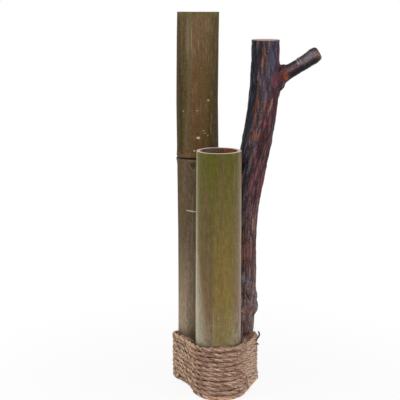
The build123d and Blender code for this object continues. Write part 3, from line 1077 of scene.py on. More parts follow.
def bark_wear(bark, base, height, side, hue, grain, strip):
    """Peeled strips, deep cracks and painted glints of highlight."""
    ragged = bark.spread(grain["Fine"], -0.2, 0.2)
    peel = bark.step(bark.sum("ADD", bark.painted("peel"), ragged), 0.5, 0.65)
    peel = bark.both(peel, bark.step(side, -0.7, -0.45), bark.step(hue["Broad"], 0.55, 0.7))
    inner = bark.mix(strip["Fine"], "rust", "flesh")
    base = bark.lay(base, inner, peel, bark.spread(bark.step(height, 280 * MM, 330 * MM), 0.3, 0.8))
    crack = bark.step(bark.sum("ADD", bark.painted("plate"), bark.both(ragged, 0.5)), 0.16, 0.0)
    base = bark.lay(base, "crack", crack, 0.75)
    # painted highlight in small pale flecks
    painted_glint = bark.both(bark.step(grain["Fine"], 0.85, 1.0), bark.step(strip["Fine"], 0.7, 0.95))
    return bark.lay(base, "ring", painted_glint, 0.6)


def bark_patches(bark, base, place, grain, light):
    """Patches of other colours at their own places, broken up by the grain."""
    for centre, reach, tilt, tone, cover in BARK_MARKS:
        patch = bark.mark(place, centre, reach, tilt, 1.6)
        broken = bark.step(grain["Fine"], 1.0 - cover, 1.3 - cover)
        base = bark.lay(base, bark.shade(tone, light, 0.6, 1.25), patch, broken)
    return base


def twig_skin(bark, base, grain, strip):
    """Smoother skin of the twig: painted shade above and below a painted highlight band, ringed, with a
    broken end.
    """
    reach, rise = bark.painted("twig"), bark.painted("rise")
    wander = bark.sum("ADD", reach, bark.spread(grain["Fine"], -0.06, 0.06))
    near_skin = bark.mix(strip["Fine"], "coal", "wine")
    near_highlight_tone = bark.lay("maroon", "ring", grain["Fine"], 0.7)
    near_highlight_cover = bark.spread(grain["Broad"], 0.15, 0.75)
    # painted highlight band on the twig's upper middle, near the branch
    near_skin = bark.lay(near_skin, near_highlight_tone, bark.near(rise, 0.3, 0.4), near_highlight_cover)
    far_skin = bark.mix(grain["Broad"], "coal", "umber")
    far_highlight_tone = bark.lay("scar", "ring", grain["Fine"], 0.5)
    far_highlight_cover = bark.spread(grain["Broad"], 0.35, 0.9)
    # painted highlight band on the twig's upper middle, towards its end
    far_skin = bark.lay(far_skin, far_highlight_tone, bark.near(rise, 0.24, 0.46), far_highlight_cover)
    skin = bark.mix(bark.step(wander, 0.58, 0.72), near_skin, far_skin)
    # painted shade along the twig's top edge and its underside
    shadow = bark.sum("MAXIMUM", bark.step(rise, 0.66, 0.84), bark.step(rise, 0.05, -0.5))
    skin = bark.lay(skin, "crack", shadow, 0.85)
    speck = bark.step(bark.noise(bark.place(), 650.0, 2.0, 0.6), 0.3, 0.7)
    base = bark.mix(bark.step(wander, 0.36, 0.46), base, bark.shade(skin, speck, 0.7, 1.3))
    second = bark.both(bark.near(reach, 0.67, 0.016), 0.7)
    ring = bark.sum("MAXIMUM", bark.near(reach, 0.62, 0.022), second)
    upper, patchy = bark.step(rise, 0.05, 0.3), bark.step(grain["Broad"], 0.2, 0.5)
    base = bark.lay(base, "ring", ring, upper, patchy, 0.7)
    end, frayed = bark.step(wander, 0.93, 0.99), bark.step(grain["Fine"], 0.3, 0.6)
    return bark.lay(base, "rust", end, frayed, bark.step(rise, 0.75, 0.4))


def bark_finish(settings):
    """Flaking bark with cracks and peeled strips, in colours that change round it and along it."""
    material, bark = new_finish("bark", settings)
    place = bark.place()
    along = bark.node("Attribute", attribute_name="straight").outputs["Vector"]
    moved = bark.stretch(along, (1, 1, 1), (0.3, 0.2, 0.1))
    strip = bark.grain(along, 280.0, 50.0)
    hue = bark.grain(moved, 210.0, 28.0)
    grain = bark.grain(along, 620.0, 500.0)
    height, side = bark.axis(along, "Z"), bark.painted("side")
    base = bark_tones(bark, height, side, hue)
    base = bark_flecks(bark, base, along, height, side, hue)
    light = bark.sum("ADD", bark.both(strip["Broad"], 0.5), bark.both(grain["Broad"], 0.5))
    base = bark.shade(base, light, 0.28, 1.57)
    speck = bark.noise(place, 900.0, 2.0, 0.6)
    base = bark.shade(base, bark.step(speck, 0.3, 0.7), 0.54, 1.45)
    base = bark_wear(bark, base, height, side, hue, grain, strip)
    base = bark_patches(bark, base, place, grain, light)
    base = twig_skin(bark, base, grain, strip)
    normal = bark.bump(light, 0.5 * MM, 0.9)
    surface(bark, base, bark.spread(grain["Broad"], 0.35, 0.55), normal, Specular_IOR_Level=0.12)
    return material


GROWTH_STEP = 1.9 * MM  # from one growth ring of the wood to the next


def sawn_wood(settings):
    """End of the branch: pinkish wood with growth rings round its middle."""
    material, wood = new_finish("sawn_wood", settings)
    place = wood.place()
    cloud = wood.noise(place, 300.0, 3.0)
    top = settings.fork_height + settings.stub
    pith = branch_foot(settings) + Vector((branch_shift(settings, top), 0, 0))
    spoke = wood.stretch(place, (1, 1, 0), -pith)
    away = wood.node("VectorMath", {0: spoke}, operation="LENGTH").outputs["Value"]
    grown = wood.sum("ADD", away, wood.spread(cloud, 0.0, 2 * MM))
    rings = wood.sum("SINE", wood.sum("MULTIPLY", grown, FULL_TURN / GROWTH_STEP))
    base = wood.mix(cloud, "wood", "dull_wood")
    base = wood.lay(base, "growth", wood.step(rings, -0.2, 1.0), 0.5)
    surface(wood, base, wood.spread(cloud, 0.6, 0.8), wood.bump(rings, 0.1 * MM, 0.4))
    return material


# Shape of the branch

def fork_point(settings):
    """Where the twig's line leaves the branch's middle, before the branch leans over."""
    return branch_foot(settings) + Vector((0, 0, settings.fork_height))


def twig_direction(settings):
    """Direction in which the twig grows."""
    return Vector((math.cos(settings.twig_rise), 0, math.sin(settings.twig_rise)))


def closed_stem(name, stations, sides, lean=0.0):
    """A stem grown along its stations from a closed end to a closed end."""
    piece = start_ring(name, *stations[0], sides, lean)
    bpy.ops.mesh.edge_face_add()
    bpy.ops.mesh.select_all(action="SELECT")
    grow_along(stations)
    return close_mesh(piece)


STEM_STEP, STEM_SIDES = 8 * MM, 64
BARK_BELOW, BARK_RISE = 5 * MM, 30 * MM  # how far below the straight foot's end the bark starts, and its rise
FLARE_RISE = (58 * MM, 8 * MM)  # where the branch's flare above the rope begins, and over what height
FLARE_FALL = (82 * MM, 25 * MM)  # where it ends, and over what height


def branch_stem(settings):
    """The branch's stem, upright and a little longer than the finished one."""
    foot = branch_foot(settings)
    top = settings.fork_height + settings.stub + settings.top_radius
    stations = []
    for height in spaced(0.0, top, STEM_STEP):
        bark = settings.bark * eased(height, settings.straight - BARK_BELOW, BARK_RISE)
        flare = settings.flare * eased(height, *FLARE_RISE) * (1 - eased(height, *FLARE_FALL))
        stations.append((foot + Vector((0, 0, height)), branch_radius(settings, height) + bark + flare))
    return closed_stem("branch_stem", stations, STEM_SIDES)


TWIG_SIDES = 40
TWIG_PROFILE = (  # share of the twig's reach, and of its radius there, past its collar
    (0.52, 1.02), (0.62, 0.98), (0.66, 1.02), (0.78, 1.04), (0.88, 1.1), (0.97, 1.02), (1.0, 0.78),
)


def branch_twig(settings):
    """The twig with its swollen collar and a thicker end, sagging a little between them."""
    ahead = twig_direction(settings)
    down = Vector((ahead.z, 0, -ahead.x))
    start = fork_point(settings)
    reaches = [
        (0.0, settings.collar_radius),
        (0.55 * settings.collar_reach, 0.95 * settings.collar_radius),
        (settings.collar_reach, 1.04 * settings.twig_radius),
    ]
    reaches += [(far * settings.twig_reach, wide * settings.twig_radius) for far, wide in TWIG_PROFILE]
    stations = []
    for reach, radius in reaches:
        sag = settings.twig_sag * math.sin(math.pi * reach / settings.twig_reach)
        stations.append((start + ahead * reach + down * sag, radius))
    return closed_stem("branch_twig", stations, TWIG_SIDES, math.pi / 2 - settings.twig_rise)


def branch_swelling(settings, height, radius, proud):
    """A round swelling on the branch's right side."""
    inset = branch_radius(settings, height) + proud - radius
    place = branch_foot(settings) + Vector((inset, 0, height))
    bpy.ops.object.select_all(action="DESELECT")
    bpy.ops.mesh.primitive_uv_sphere_add(radius=radius, location=place)
    bpy.ops.object.transform_apply(location=True, rotation=True, scale=True)
    return bpy.context.active_object


SWELLINGS = (  # what a swelling lies by, its height above that, its radius and how far it stands out, in mm
    ("knot_height", 12.0, 22.0, 2.6),
    ("fork_height", -9.0, 15.0, 2.0),
    ("fork_height", 1.5, 12.0, 6.2),
    ("fork_height", 15.5, 7.5, 11.0),
)


BARK_VOXEL = 0.8 * MM
CRACK_REST = 0.3  # share of a flake's depth that stays level


def grow_branch(settings):
    """Stem, twig and swellings grown into one smooth skin."""
    parts = [branch_stem(settings), branch_twig(settings)]
    knot = (settings.knot_height, settings.knot_radius, settings.knot_proud)
    parts.append(branch_swelling(settings, *knot))
    for beside, rise, radius, proud in SWELLINGS:
        height = getattr(settings, beside) + rise * MM
        parts.append(branch_swelling(settings, height, radius * MM, proud * MM))
    make_active(parts[0])
    for part in parts:
        part.select_set(True)
    bpy.ops.object.join()
    piece = bpy.context.active_object
    piece.name = "branch_bark"
    apply_modifier(piece, "one_skin", "REMESH", mode="VOXEL", voxel_size=BARK_VOXEL)
    apply_modifier(piece, "soft_fork", "SMOOTH", factor=0.5, iterations=8)
    return piece


def cut_branch(piece, settings):
    """Saw the branch's top at its slope."""
    top = branch_foot(settings) + Vector((0, 0, settings.fork_height + settings.stub))
    slope = Vector((0, -math.sin(settings.cut_tilt), math.cos(settings.cut_tilt)))
    make_active(piece)
    bpy.ops.object.mode_set(mode="EDIT")
    bpy.ops.mesh.select_all(action="SELECT")
    bpy.ops.mesh.bisect(plane_co=top, plane_no=slope, use_fill=True, clear_outer=True)
    bpy.ops.object.mode_set(mode="OBJECT")


TWIG_GIRTH = 1.15  # how far from its line the twig's skin may lie, in collar radii


def twig_share(settings, place):
    """How far along the twig a place lies, from 0 in the branch to 1 at its end."""
    away = place - fork_point(settings)
    ahead = twig_direction(settings)
    along = away.dot(ahead)
    aside = (away - ahead * along).length
    return max(0.0, along / settings.twig_reach) if aside < TWIG_GIRTH * settings.collar_radius else 0.0


ROPE_COVER = (60 * MM, 40 * MM)  # where the bark starts to roughen above the rope, and over what height
CUT_COVER = (1.5 * MM, 3 * MM)  # the same below the sawn top
TWIG_COVER = (0.3, 0.1)  # where along the twig its skin starts to smooth, and over what share of it
COVERED, SMOOTHED = 0.25, 0.6  # share of the roughness left under the rope, and lost on the twig


def bark_weight(settings, place):
    """How rough the bark is at a place: less under the rope, on the twig and at the sawn top."""
    height = float(place[2])
    under_rope = COVERED + (1 - COVERED) * eased(height, *ROPE_COVER)
    below_cut = settings.fork_height + settings.stub - height
    at_cut = eased(below_cut, *CUT_COVER)
    on_twig = 1 - SMOOTHED * eased(twig_share(settings, Vector(place)), *TWIG_COVER)
    return under_rope * at_cut * on_twig


def flake_bark(piece, settings):
    """Roughen the skin into flakes and cracks, and paint what its finish reads."""
    places = places_of(piece)
    weights = np.array([bark_weight(settings, place) for place in places])
    weigh(piece, "bark", weights)
    across = (places[:, 0] - branch_foot(settings).x) / settings.foot_radius
    paint(piece, "twig", [twig_share(settings, Vector(place)) for place in places])
    paint(piece, "side", np.clip(across, -1.0, 1.0))
    # upward share of each normal, which the twig's painted highlight and painted shade follow
    paint(piece, "rise", places_of(piece, "normal")[:, 2])
    paint_places(piece, "straight", places)
    flake, depth = settings.flake_width, settings.flake_depth
    roughen(piece, "bark_sway", 45 * MM, 2.0, 1.6 * MM, "bark")
    plate = roughen(piece, "bark_flakes", flake, 6.0, depth, "bark", "VORONOI", rest=CRACK_REST)
    peel = roughen(piece, "bark_peel", 0.9 * flake, 6.0, -0.4 * depth, "bark", contrast=4.0, rest=0.0)
    roughen(piece, "bark_fibre", 1.5 * MM, 5.0, 0.7 * MM, "bark")
    paint(piece, "plate", np.clip(CRACK_REST + plate / (depth * weights + 1e-6), 0.0, 1.0))
    paint(piece, "peel", np.clip(peel / (-0.4 * depth * weights - 1e-6), 0.0, 1.0))


BRANCH_BOW = (  # height and sideways shift of the branch's grown line, in millimetres
    (0.0, 0.0), (190.0, 0.0), (240.0, 0.7), (280.0, 0.0), (325.0, -0.7), (352.0, 0.0), (430.0, 0.0),
)


def lean_over(piece, settings):
    """Lean the upright branch to the right, height by height, with the small sway of its growth."""
    places = places_of(piece)
    places[:, 0] += bowed(places, BRANCH_BOW)
    places[:, 0] += [branch_shift(settings, height) for height in places[:, 2]]
    move_places(piece, places)


CUT_REACH = 4 * MM  # how far below the branch's top its sawn face may lie
CUT_RISE = 0.9  # how far up that face's normal has to point


def branch_zone(settings):
    """Zone of the branch's face: bark or the sawn top."""
    lowest = settings.fork_height + settings.stub - CUT_REACH
    def zone_at(face_middle, normal):
        return int(face_middle.z > lowest and normal.z > CUT_RISE)
    return zone_at


def build_branch(settings):
    """The forked branch: grown into one skin, sawn off, covered with flaking bark, then leant over."""
    piece = grow_branch(settings)
    cut_branch(piece, settings)
    flake_bark(piece, settings)
    lean_over(piece, settings)
    dress(piece, [bark_finish(settings), sawn_wood(settings)], branch_zone(settings))
    hand_in(piece, "bark", "branch")


# Finishes of the rope

def jute_tones(jute, place, across, height, straw):
    """Broad colours of the rope: paler round the sides as painted light, paler low down, straw on the left, a
    redder patch.
    """
    patch = jute.noise(place, 70.0, 3.0)
    base = jute.mix(jute.step(patch, 0.35, 0.7), "light", "warm")
    # painted light: paler round the sides, where the side lamps fall
    lit_sides = jute.spread(jute.step(jute.axis(place, "Y"), -22 * MM, 8 * MM), 0.1, 0.68)
    off_right = jute.spread(jute.step(across, 28 * MM, 44 * MM), 1.0, 0.7)
    base = jute.lay(base, "pale", lit_sides, off_right)
    base = jute.lay(base, "straw", straw, 0.62)
    red = jute.mark(place, (-16.5, -27.0, 46.0), (10.0, 9.0, 8.0), 0.0, 1.2)
    base = jute.lay(base, "warm", red, 0.5)
    low_down = jute.both(jute.slope(height, 45 * MM, 10 * MM), 0.3)
    bleached = jute.sum("MAXIMUM", jute.both(straw, 0.62), low_down)
    return jute.mix(bleached, base, "pale")


def jute_gap_shade(jute, place, across, straw):
    """How strong the painted shade between the turns is: most on the left and the right, in patches across
    the front.
    """
    snug = jute.noise(place, 110.0, 2.0)
    gap = jute.spread(jute.step(snug, 0.38, 0.62), 0.2, 0.85)
    gap = jute.sum("MAXIMUM", gap, jute.both(straw, 0.95))
    right = jute.step(across, 27 * MM, 34 * MM)
    return jute.sum("MAXIMUM", gap, jute.both(right, 0.9))


def jute_finish(settings):
    """Twisted jute: dried fibres along the rope, painted shade between the strands and under the turns, and
    painted light at the foot.
    """
    material, jute = new_finish("jute", settings)
    place = jute.place()
    across, height = jute.axis(place, "X"), jute.axis(place, "Z")
    fibre = jute.node("Attribute", attribute_name="fibre").outputs["Vector"]
    hair = jute.noise(jute.stretch(fibre, (1000, 1000, 450)), 1.0, 3.0, 0.7)
    yarn = jute.noise(jute.stretch(fibre, (460, 460, 200)), 1.0, 2.0)
    straw = jute.step(across, -20 * MM, -34 * MM)
    base = jute_tones(jute, place, across, height, straw)
    base = jute.lay(base, "pale", jute.step(yarn, 0.5, 0.7), 0.8)
    base = jute.lay(base, "pale", jute.step(hair, 0.56, 0.7), 0.6)
    base = jute.lay(base, "dark", jute.step(hair, 0.5, 0.34), 0.92)
    # painted shade deep between the strands
    base = jute.lay(base, "dark", jute.step(jute.painted("depth"), 0.66, 0.38), 0.55)
    # painted shade on the underside of each turn, between the turns
    below = jute.step(jute.painted("rise"), -0.2, -0.85)
    base = jute.lay(base, "dark", below, jute_gap_shade(jute, place, across, straw))
    # painted light at the rope's foot, standing for light from the floor
    base = jute.lay(base, "painted_foot_light", jute.step(height, 4.5 * MM, 1.5 * MM), 0.85)
    normal = jute.bump(hair, 0.4 * MM, 0.9)
    surface(jute, base, jute.spread(hair, 0.75, 0.95), normal, Specular_IOR_Level=0.1)
    return material


def hair_finish(settings):
    """Loose fibres, each with its own tone, paler round the sides as painted light."""
    material, hair = new_finish("jute_hair", settings)
    place = hair.place()
    tone = hair.painted("tone")
    cloud = hair.noise(place, 500.0, 2.0)
    base = hair.ramp(tone, (0.0, "dark"), (0.35, "warm"), (0.65, "light"), (1.0, "pale"))
    # painted light: paler round the sides
    sides = hair.step(hair.axis(place, "Y"), -22 * MM, 8 * MM)
    base = hair.lay(base, "pale", sides, hair.step(tone, 0.15, 0.5), 0.4)
    base = hair.shade(base, cloud, 0.75, 1.25)
    surface(hair, base, hair.spread(cloud, 0.7, 0.9), Specular_IOR_Level=0.1)
    return material


def spur_finish(settings):
    """Dry dark stem."""
    material, spur = new_finish("dry_stem", settings)
    cloud = spur.noise(spur.stretch(spur.place(), (900, 900, 300)), 1.0, 3.0)
    base = spur.mix(cloud, "spur", "warm")
    surface(spur, base, spur.spread(cloud, 0.5, 0.8), spur.bump(cloud, 0.2 * MM, 0.7))
    return material


# Route of the rope

def bearing_point(centre, radius, bearing):
    """Point at a distance and bearing from a centre on the floor."""
    return centre + Vector((math.cos(bearing), math.sin(bearing), 0)) * radius


def bearing_of(direction):
    """Bearing of a direction on the floor."""
    return math.atan2(direction.y, direction.x)


def right_hand_meet(first, first_radius, second, second_radius):
    """Point at the given distances from two centres, right of the way from first to second."""
    way = second - first
    along = (first_radius**2 - second_radius**2 + way.length_squared) / (2 * way.length)
    aside = math.sqrt(first_radius**2 - along**2)
    ahead = way.normalized()
    return first + ahead * along + Vector((ahead.y, -ahead.x, 0)) * aside


def outer_tangent_bearing(first, first_radius, second, second_radius):
    """Bearing of the points where a straight run leaves one round and meets the next."""
    way = second - first
    return bearing_of(way) - math.acos((first_radius - second_radius) / way.length)


def bend_points(centre, radius, start, sweep, parts):
    """Corners of the line that bends round a circle and touches it once in each part."""
    step = sweep / parts
    reach = radius / math.cos(step / 2)
    return [bearing_point(centre, reach, start + (index + 0.5) * step) for index in range(parts)]


CLIMB_SHARES = (0.05, 0.18, 0.32, 0.45, 0.58, 0.7)  # of a turn's climb, at each point round the tall culm
FRONT_SHARES = (-0.2, -0.08, 0.0, 0.0, 0.0, 0.0, 0.0)  # what is left of it at each point across the front


def turn_points(settings, branch, hollow):
    """One turn of the rope on the floor plan, as its front half and the rest, each point with its rise."""
    short, tall = middle(SHORT_LOW, SHORT_HIGH), middle(TALL_LOW, TALL_HIGH)
    stem = branch_foot(branch)
    vase = bpy.context.scene.bamboo_vase
    short_round = vase.short_culm.foot_radius + settings.stand_off
    tall_round = vase.tall_culm.foot_radius + settings.stand_off
    stem_round = branch.foot_radius + settings.stand_off
    valley = right_hand_meet(tall, tall_round + hollow, short, short_round + hollow)
    right_run = outer_tangent_bearing(short, short_round, stem, stem_round)
    back_run = outer_tangent_bearing(stem, stem_round, tall, tall_round)
    into_short = bearing_of(valley - short)
    out_of_tall = bearing_of(valley - tall)
    short_sweep = (right_run - into_short) % FULL_TURN
    stem_sweep = (back_run - right_run) % FULL_TURN
    tall_sweep = (out_of_tall - back_run) % FULL_TURN
    valley_sweep = (short - valley).xy.angle((tall - valley).xy)
    front = bend_points(short, short_round, into_short, short_sweep, 6)
    front.append(bearing_point(short, short_round, right_run))
    level = [bearing_point(stem, stem_round, right_run)]
    level += bend_points(stem, stem_round, right_run, stem_sweep, 5)
    level += [bearing_point(stem, stem_round, back_run), bearing_point(tall, tall_round, back_run)]
    level += bend_points(tall, tall_round, back_run, tall_sweep / 2, 3)
    climb = bend_points(tall, tall_round, back_run + tall_sweep / 2, tall_sweep / 2, 3)
    climb += bend_points(valley, hollow, bearing_of(tall - valley), -valley_sweep, 3)
    rest = [(point, 0.0) for point in level] + list(zip(climb, CLIMB_SHARES))
    return list(zip(front, FRONT_SHARES)), rest


ROUTE_SEED = 11
BUNDLE_MIDDLE = 25 * MM  # how far behind the short culm's middle the bundle's own lies
UNEVEN = 0.6  # how far a point of the rope may lie above or below its turn, in millimetres
SLACK = 0.5  # how far a turn may stand off, and each of its points again, in millimetres
CALM = 0.35  # share of the unevenness at the right and the back
CALM_RIGHT, CALM_BACK = 25 * MM, 40 * MM  # where those begin
LOW_SNUG = 0.6 * MM  # how far the second turn sinks on to the first at the right and the back
LOW_SNUG_LOSS = 0.15 * MM  # by how much less each next turn sinks
BACK_SNUG = 0.07  # share by which the turns lie closer together across the back
BACK_SNUG_RISE = (45 * MM, 14 * MM)  # where that begins, and over what depth
TALL_DROP = 1.3 * MM  # how far the top turn lies lower round the tall culm
TALL_DROP_FROM = -20 * MM  # where it begins to
RIGHT_LOOSE, RIGHT_LOOSE_TO = 1.3 * MM, 12 * MM  # how far the front stands off on its right, and to where
FOOT_LOOSE, FOOT_TURNS = 1.4 * MM, 2  # how far the lowest turns stand off on the right, and how many do
START_LIFT = (3.2, 1.4)  # how far the rope's tucked start is lifted at its first points, in millimetres


def route_lift(wander, turn, index, point, last):
    """How far a point of the rope lies above its turn's even course."""
    calm = CALM if point.x > CALM_RIGHT or point.y > CALM_BACK else 1.0
    lift = wander.uniform(-UNEVEN, UNEVEN) * calm * MM if turn else 0.0
    if turn and calm < 1.0:
        lift -= max(0.0, LOW_SNUG - LOW_SNUG_LOSS * (turn - 1))
    if turn == 0 and index < len(START_LIFT):
        lift = START_LIFT[index] * MM
    if turn == last and point.x < TALL_DROP_FROM:
        lift -= TALL_DROP
    return lift


def rope_route(settings, branch):
    """Control points of the rope's line, turn after turn, as uneven as a hand winds it."""
    wander = random.Random(ROUTE_SEED)
    points = []
    for turn in range(settings.turns + 1):
        hollow = settings.valley_radius if turn else settings.first_valley_radius
        front, rest = turn_points(settings, branch, hollow)
        passed = front + rest if turn < settings.turns else front
        slack = wander.uniform(0.0, SLACK) * MM
        for index, (point, rise) in enumerate(passed):
            snug = 1 - BACK_SNUG * eased(point.y, *BACK_SNUG_RISE)
            height = settings.first_height + (turn + rise) * settings.pitch * snug
            lift = route_lift(wander, turn, index, point, settings.turns - 1)
            outward = Vector((point.x, point.y - BUNDLE_MIDDLE, 0)).normalized()
            loose = RIGHT_LOOSE * max(0.0, outward.x) if point.y < RIGHT_LOOSE_TO else 0.0
            if turn < FOOT_TURNS:
                loose += FOOT_LOOSE * max(0.0, outward.x)
            out = slack + loose + wander.uniform(0.0, SLACK) * MM
            points.append(point + outward * out + Vector((0, 0, height + lift)))
    return points


ROPE_LINE_STEPS, SPUR_LINE_STEPS = 12, 6  # points of a line from one control point to the next


def read_line(points, steps):
    """Points along the smooth line that a list of control points gives."""
    curve = bpy.data.curves.new("rope_line", "CURVE")
    curve.dimensions = "3D"
    curve.resolution_u = steps
    spline = curve.splines.new("NURBS")
    spline.points.add(len(points) - 1)
    for target, point in zip(spline.points, points):
        target.co = (*point, 1.0)
    spline.order_u = 3
    spline.use_endpoint_u = True
    holder = bpy.data.objects.new("rope_line", curve)
    bpy.context.scene.collection.objects.link(holder)
    mesh = bpy.data.meshes.new_from_object(holder)
    line = [vertex.co.copy() for vertex in mesh.vertices]
    bpy.data.meshes.remove(mesh)
    bpy.data.objects.remove(holder)
    bpy.data.curves.remove(curve)
    return line


def line_frames(line):
    """For each point of a line: the point, its direction, outward, up, and the length so far."""
    frames = []
    so_far = 0.0
    for index, point in enumerate(line):
        before = line[max(index - 1, 0)]
        after = line[min(index + 1, len(line) - 1)]
        ahead = (after - before).normalized()
        outward = ahead.cross(Vector((0, 0, 1))).normalized()
        frames.append((point, ahead, outward, outward.cross(ahead), so_far))
        if index + 1 < len(line):
            so_far += (line[index + 1] - point).length
    return frames


# Strands and fibres of the rope

STRANDS = 3
STRAND_SEED = 21
STRAND_SIDES = 14
STRAND_SHARE = 0.53  # a strand's radius as a share of the rope's
SWAY_STEPS = 9  # points of the line from one change of a strand's sway to the next
SWELL, DRIFT = (0.84, 1.14), (-0.6, 0.6)  # how thick a strand may be, and how far it may drift, in radians
SWELL_PACE, DRIFT_PACE = 0.2, 0.1  # share of the way to the next sway that each point goes
LUMP = 0.24  # how far a strand's lumps change its radius
LUMP_ROUND, LUMP_ALONG = 2.4, 0.15  # how closely they lie round the strand and along it
FLOOR_CLEARANCE = 0.05 * MM


def strand_sway(count, seed):
    """How thick a strand is, and how far it drifts round the rope, at each point of the line."""
    wander = random.Random(seed)
    swell, target, drift, drift_target = 1.0, 1.0, 0.0, 0.0
    sway = []
    for index in range(count):
        if index % SWAY_STEPS == 0:
            target = wander.uniform(*SWELL)
            drift_target = wander.uniform(*DRIFT)
        swell += (target - swell) * SWELL_PACE
        drift += (drift_target - drift) * DRIFT_PACE
        sway.append((swell, drift))
    return sway


def tube_faces(rings, sides):
    """Faces of a tube of several rings, closed at both ends."""
    faces = []
    for ring in range(rings - 1):
        low, high = ring * sides, (ring + 1) * sides
        for side in range(sides):
            after = (side + 1) % sides
            faces.append((low + side, high + side, high + after, low + after))
    last = (rings - 1) * sides
    faces.append(tuple(range(sides)))
    faces.append(tuple(last + side for side in reversed(range(sides))))
    return faces


def strand_piece(name, frames, settings, start_turn, seed):
    """One of the rope's three strands, as a lumpy tube that winds round the rope's line."""
    rope_radius = settings.diameter / 2
    strand_radius = rope_radius * STRAND_SHARE
    aside = rope_radius - strand_radius
    offset = Vector((seed, 0, 0))
    verts, depth, rise, fibres = [], [], [], []
    for (point, _, outward, up, so_far), (swell, drift) in zip(frames, strand_sway(len(frames), seed)):
        twist = FULL_TURN * so_far / settings.lay
        turn = start_turn + drift - twist
        centre = point + (outward * math.cos(turn) + up * math.sin(turn)) * aside
        untwist = twist * aside / strand_radius
        for side in range(STRAND_SIDES):
            bend = FULL_TURN * side / STRAND_SIDES
            ray = outward * math.cos(bend) + up * math.sin(bend)
            fibre = Vector((math.cos(bend - untwist), math.sin(bend - untwist), so_far / strand_radius))
            spot = Vector((fibre.x * LUMP_ROUND, fibre.y * LUMP_ROUND, fibre.z * LUMP_ALONG))
            lump = 1 + LUMP * noise.noise(spot + offset)
            place = centre + ray * strand_radius * swell * lump
            place.z = max(place.z, FLOOR_CLEARANCE)
            verts.append(place)
            fibres.append(fibre * strand_radius + offset)
            depth.append((place - point).length / rope_radius)
            rise.append((place - point).dot(up) / rope_radius)
    piece = mesh_piece(name, verts, tube_faces(len(frames), STRAND_SIDES))
    # depth and rise let the jute's finish lay painted shade between the strands and under the turns
    paint(piece, "depth", np.clip(depth, 0.0, 1.2))
    paint(piece, "rise", np.clip(rise, -1.0, 1.0))
    paint_places(piece, "fibre", np.array(fibres))
    return piece


def add_fibre(shape, points, thickness, tone, taper=0.75):
    """Add one closed, tapering, three-sided fibre to a shape of vertices, faces and tones."""
    verts, faces, tones = shape
    first = len(verts)
    for index, point in enumerate(points):
        ahead = (points[min(index + 1, len(points) - 1)] - points[max(index - 1, 0)]).normalized()
        side = ahead.orthogonal().normalized()
        other = ahead.cross(side)
        radius = thickness / 2 * (1 - taper * index / (len(points) - 1))
        for corner in range(3):
            bend = FULL_TURN * corner / 3
            verts.append(point + (side * math.cos(bend) + other * math.sin(bend)) * radius)
            tones.append(tone)
    for index in range(len(points) - 1):
        low, high = first + 3 * index, first + 3 * index + 3
        for corner in range(3):
            after = (corner + 1) % 3
            faces.append((low + corner, low + after, high + after, high + corner))
    last = first + 3 * (len(points) - 1)
    faces.append((first + 2, first + 1, first))
    faces.append((last, last + 1, last + 2))


def fibre_piece(name, shape, finish):
    """A piece of many fibres, which rides with the bundle like the rope."""
    verts, faces, tones = shape
    piece = mesh_piece(name, verts, faces)
    paint(piece, "tone", tones)
    dress(piece, [finish])
    hand_in(piece, "jute")


FIBRE_CLEARANCE = 0.4 * MM  # least height of a fibre's middle above the floor
FUZZ_SEED = 5
FUZZ = (  # each kind of fibre, its steps along the rope, its lift, tones and thickness, in millimetres
    ("yarns", (4, 10), (0.0, 0.3), (0.0, 1.0), (0.3, 0.65)),
    ("hairs", (3, 6), (0.4, 1.8), (0.3, 1.0), (0.2, 0.35)),
)


FRAYED = (  # start and end of a frayed tuft, its fibres, its spread and its tones, in millimetres
    # these first two tufts are dark fibres laid as painted shade beside the light tuft after them
    ((32.6, -7.4, 20.0), (34.2, -8.2, 2.5), 12, 0.6, (0.15, 0.5)),
    ((34.2, -8.4, 8.5), (34.6, -8.8, 2.5), 8, 0.4, (0.05, 0.25)),
    ((33.8, -7.4, 18.0), (35.4, -8.2, 6.0), 16, 0.35, (0.9, 1.0)),
    ((28.0, -8.5, 59.5), (33.0, 6.0, 63.6), 30, 1.5, (0.4, 1.0)),
    ((33.4, 0.6, 57.5), (34.8, -0.8, 48.5), 12, 0.35, (0.75, 1.0)),
    ((36.5, 17.0, 57.5), (43.5, 28.0, 62.5), 44, 1.5, (0.1, 0.6)),
    ((46.0, 33.0, 45.0), (48.6, 32.5, 43.6), 14, 0.4, (0.0, 0.2)),
    # dark fibres laid as painted shade along a gap low on the rope's left
    ((-46.4, 24.5, 9.0), (-40.4, 11.0, 10.0), 12, 0.3, (0.0, 0.1)),
    # pale fibres laid as a painted highlight just above that gap
    ((-47.4, 24.6, 10.0), (-45.6, 21.0, 10.2), 14, 0.4, (1.0, 1.0)),
    ((-20.8, -24.9, 48.6), (-13.0, -29.8, 44.6), 5, 0.4, (0.6, 1.0)),
    ((-28.6, -15.2, 45.0), (-29.4, -15.6, 34.0), 16, 0.9, (0.75, 1.0)),
    ((-48.2, 42.0, 57.0), (-43.0, 24.0, 57.4), 26, 0.9, (0.0, 0.45)),
    ((-42.0, 22.0, 58.0), (-28.0, 0.0, 59.6), 26, 0.8, (0.0, 0.6)),
    ((-10.0, -27.6, 62.0), (0.0, -28.2, 63.4), 11, 1.1, (0.6, 1.0)),
    ((2.0, -28.2, 62.0), (12.0, -27.0, 63.8), 13, 1.1, (0.6, 1.0)),
)


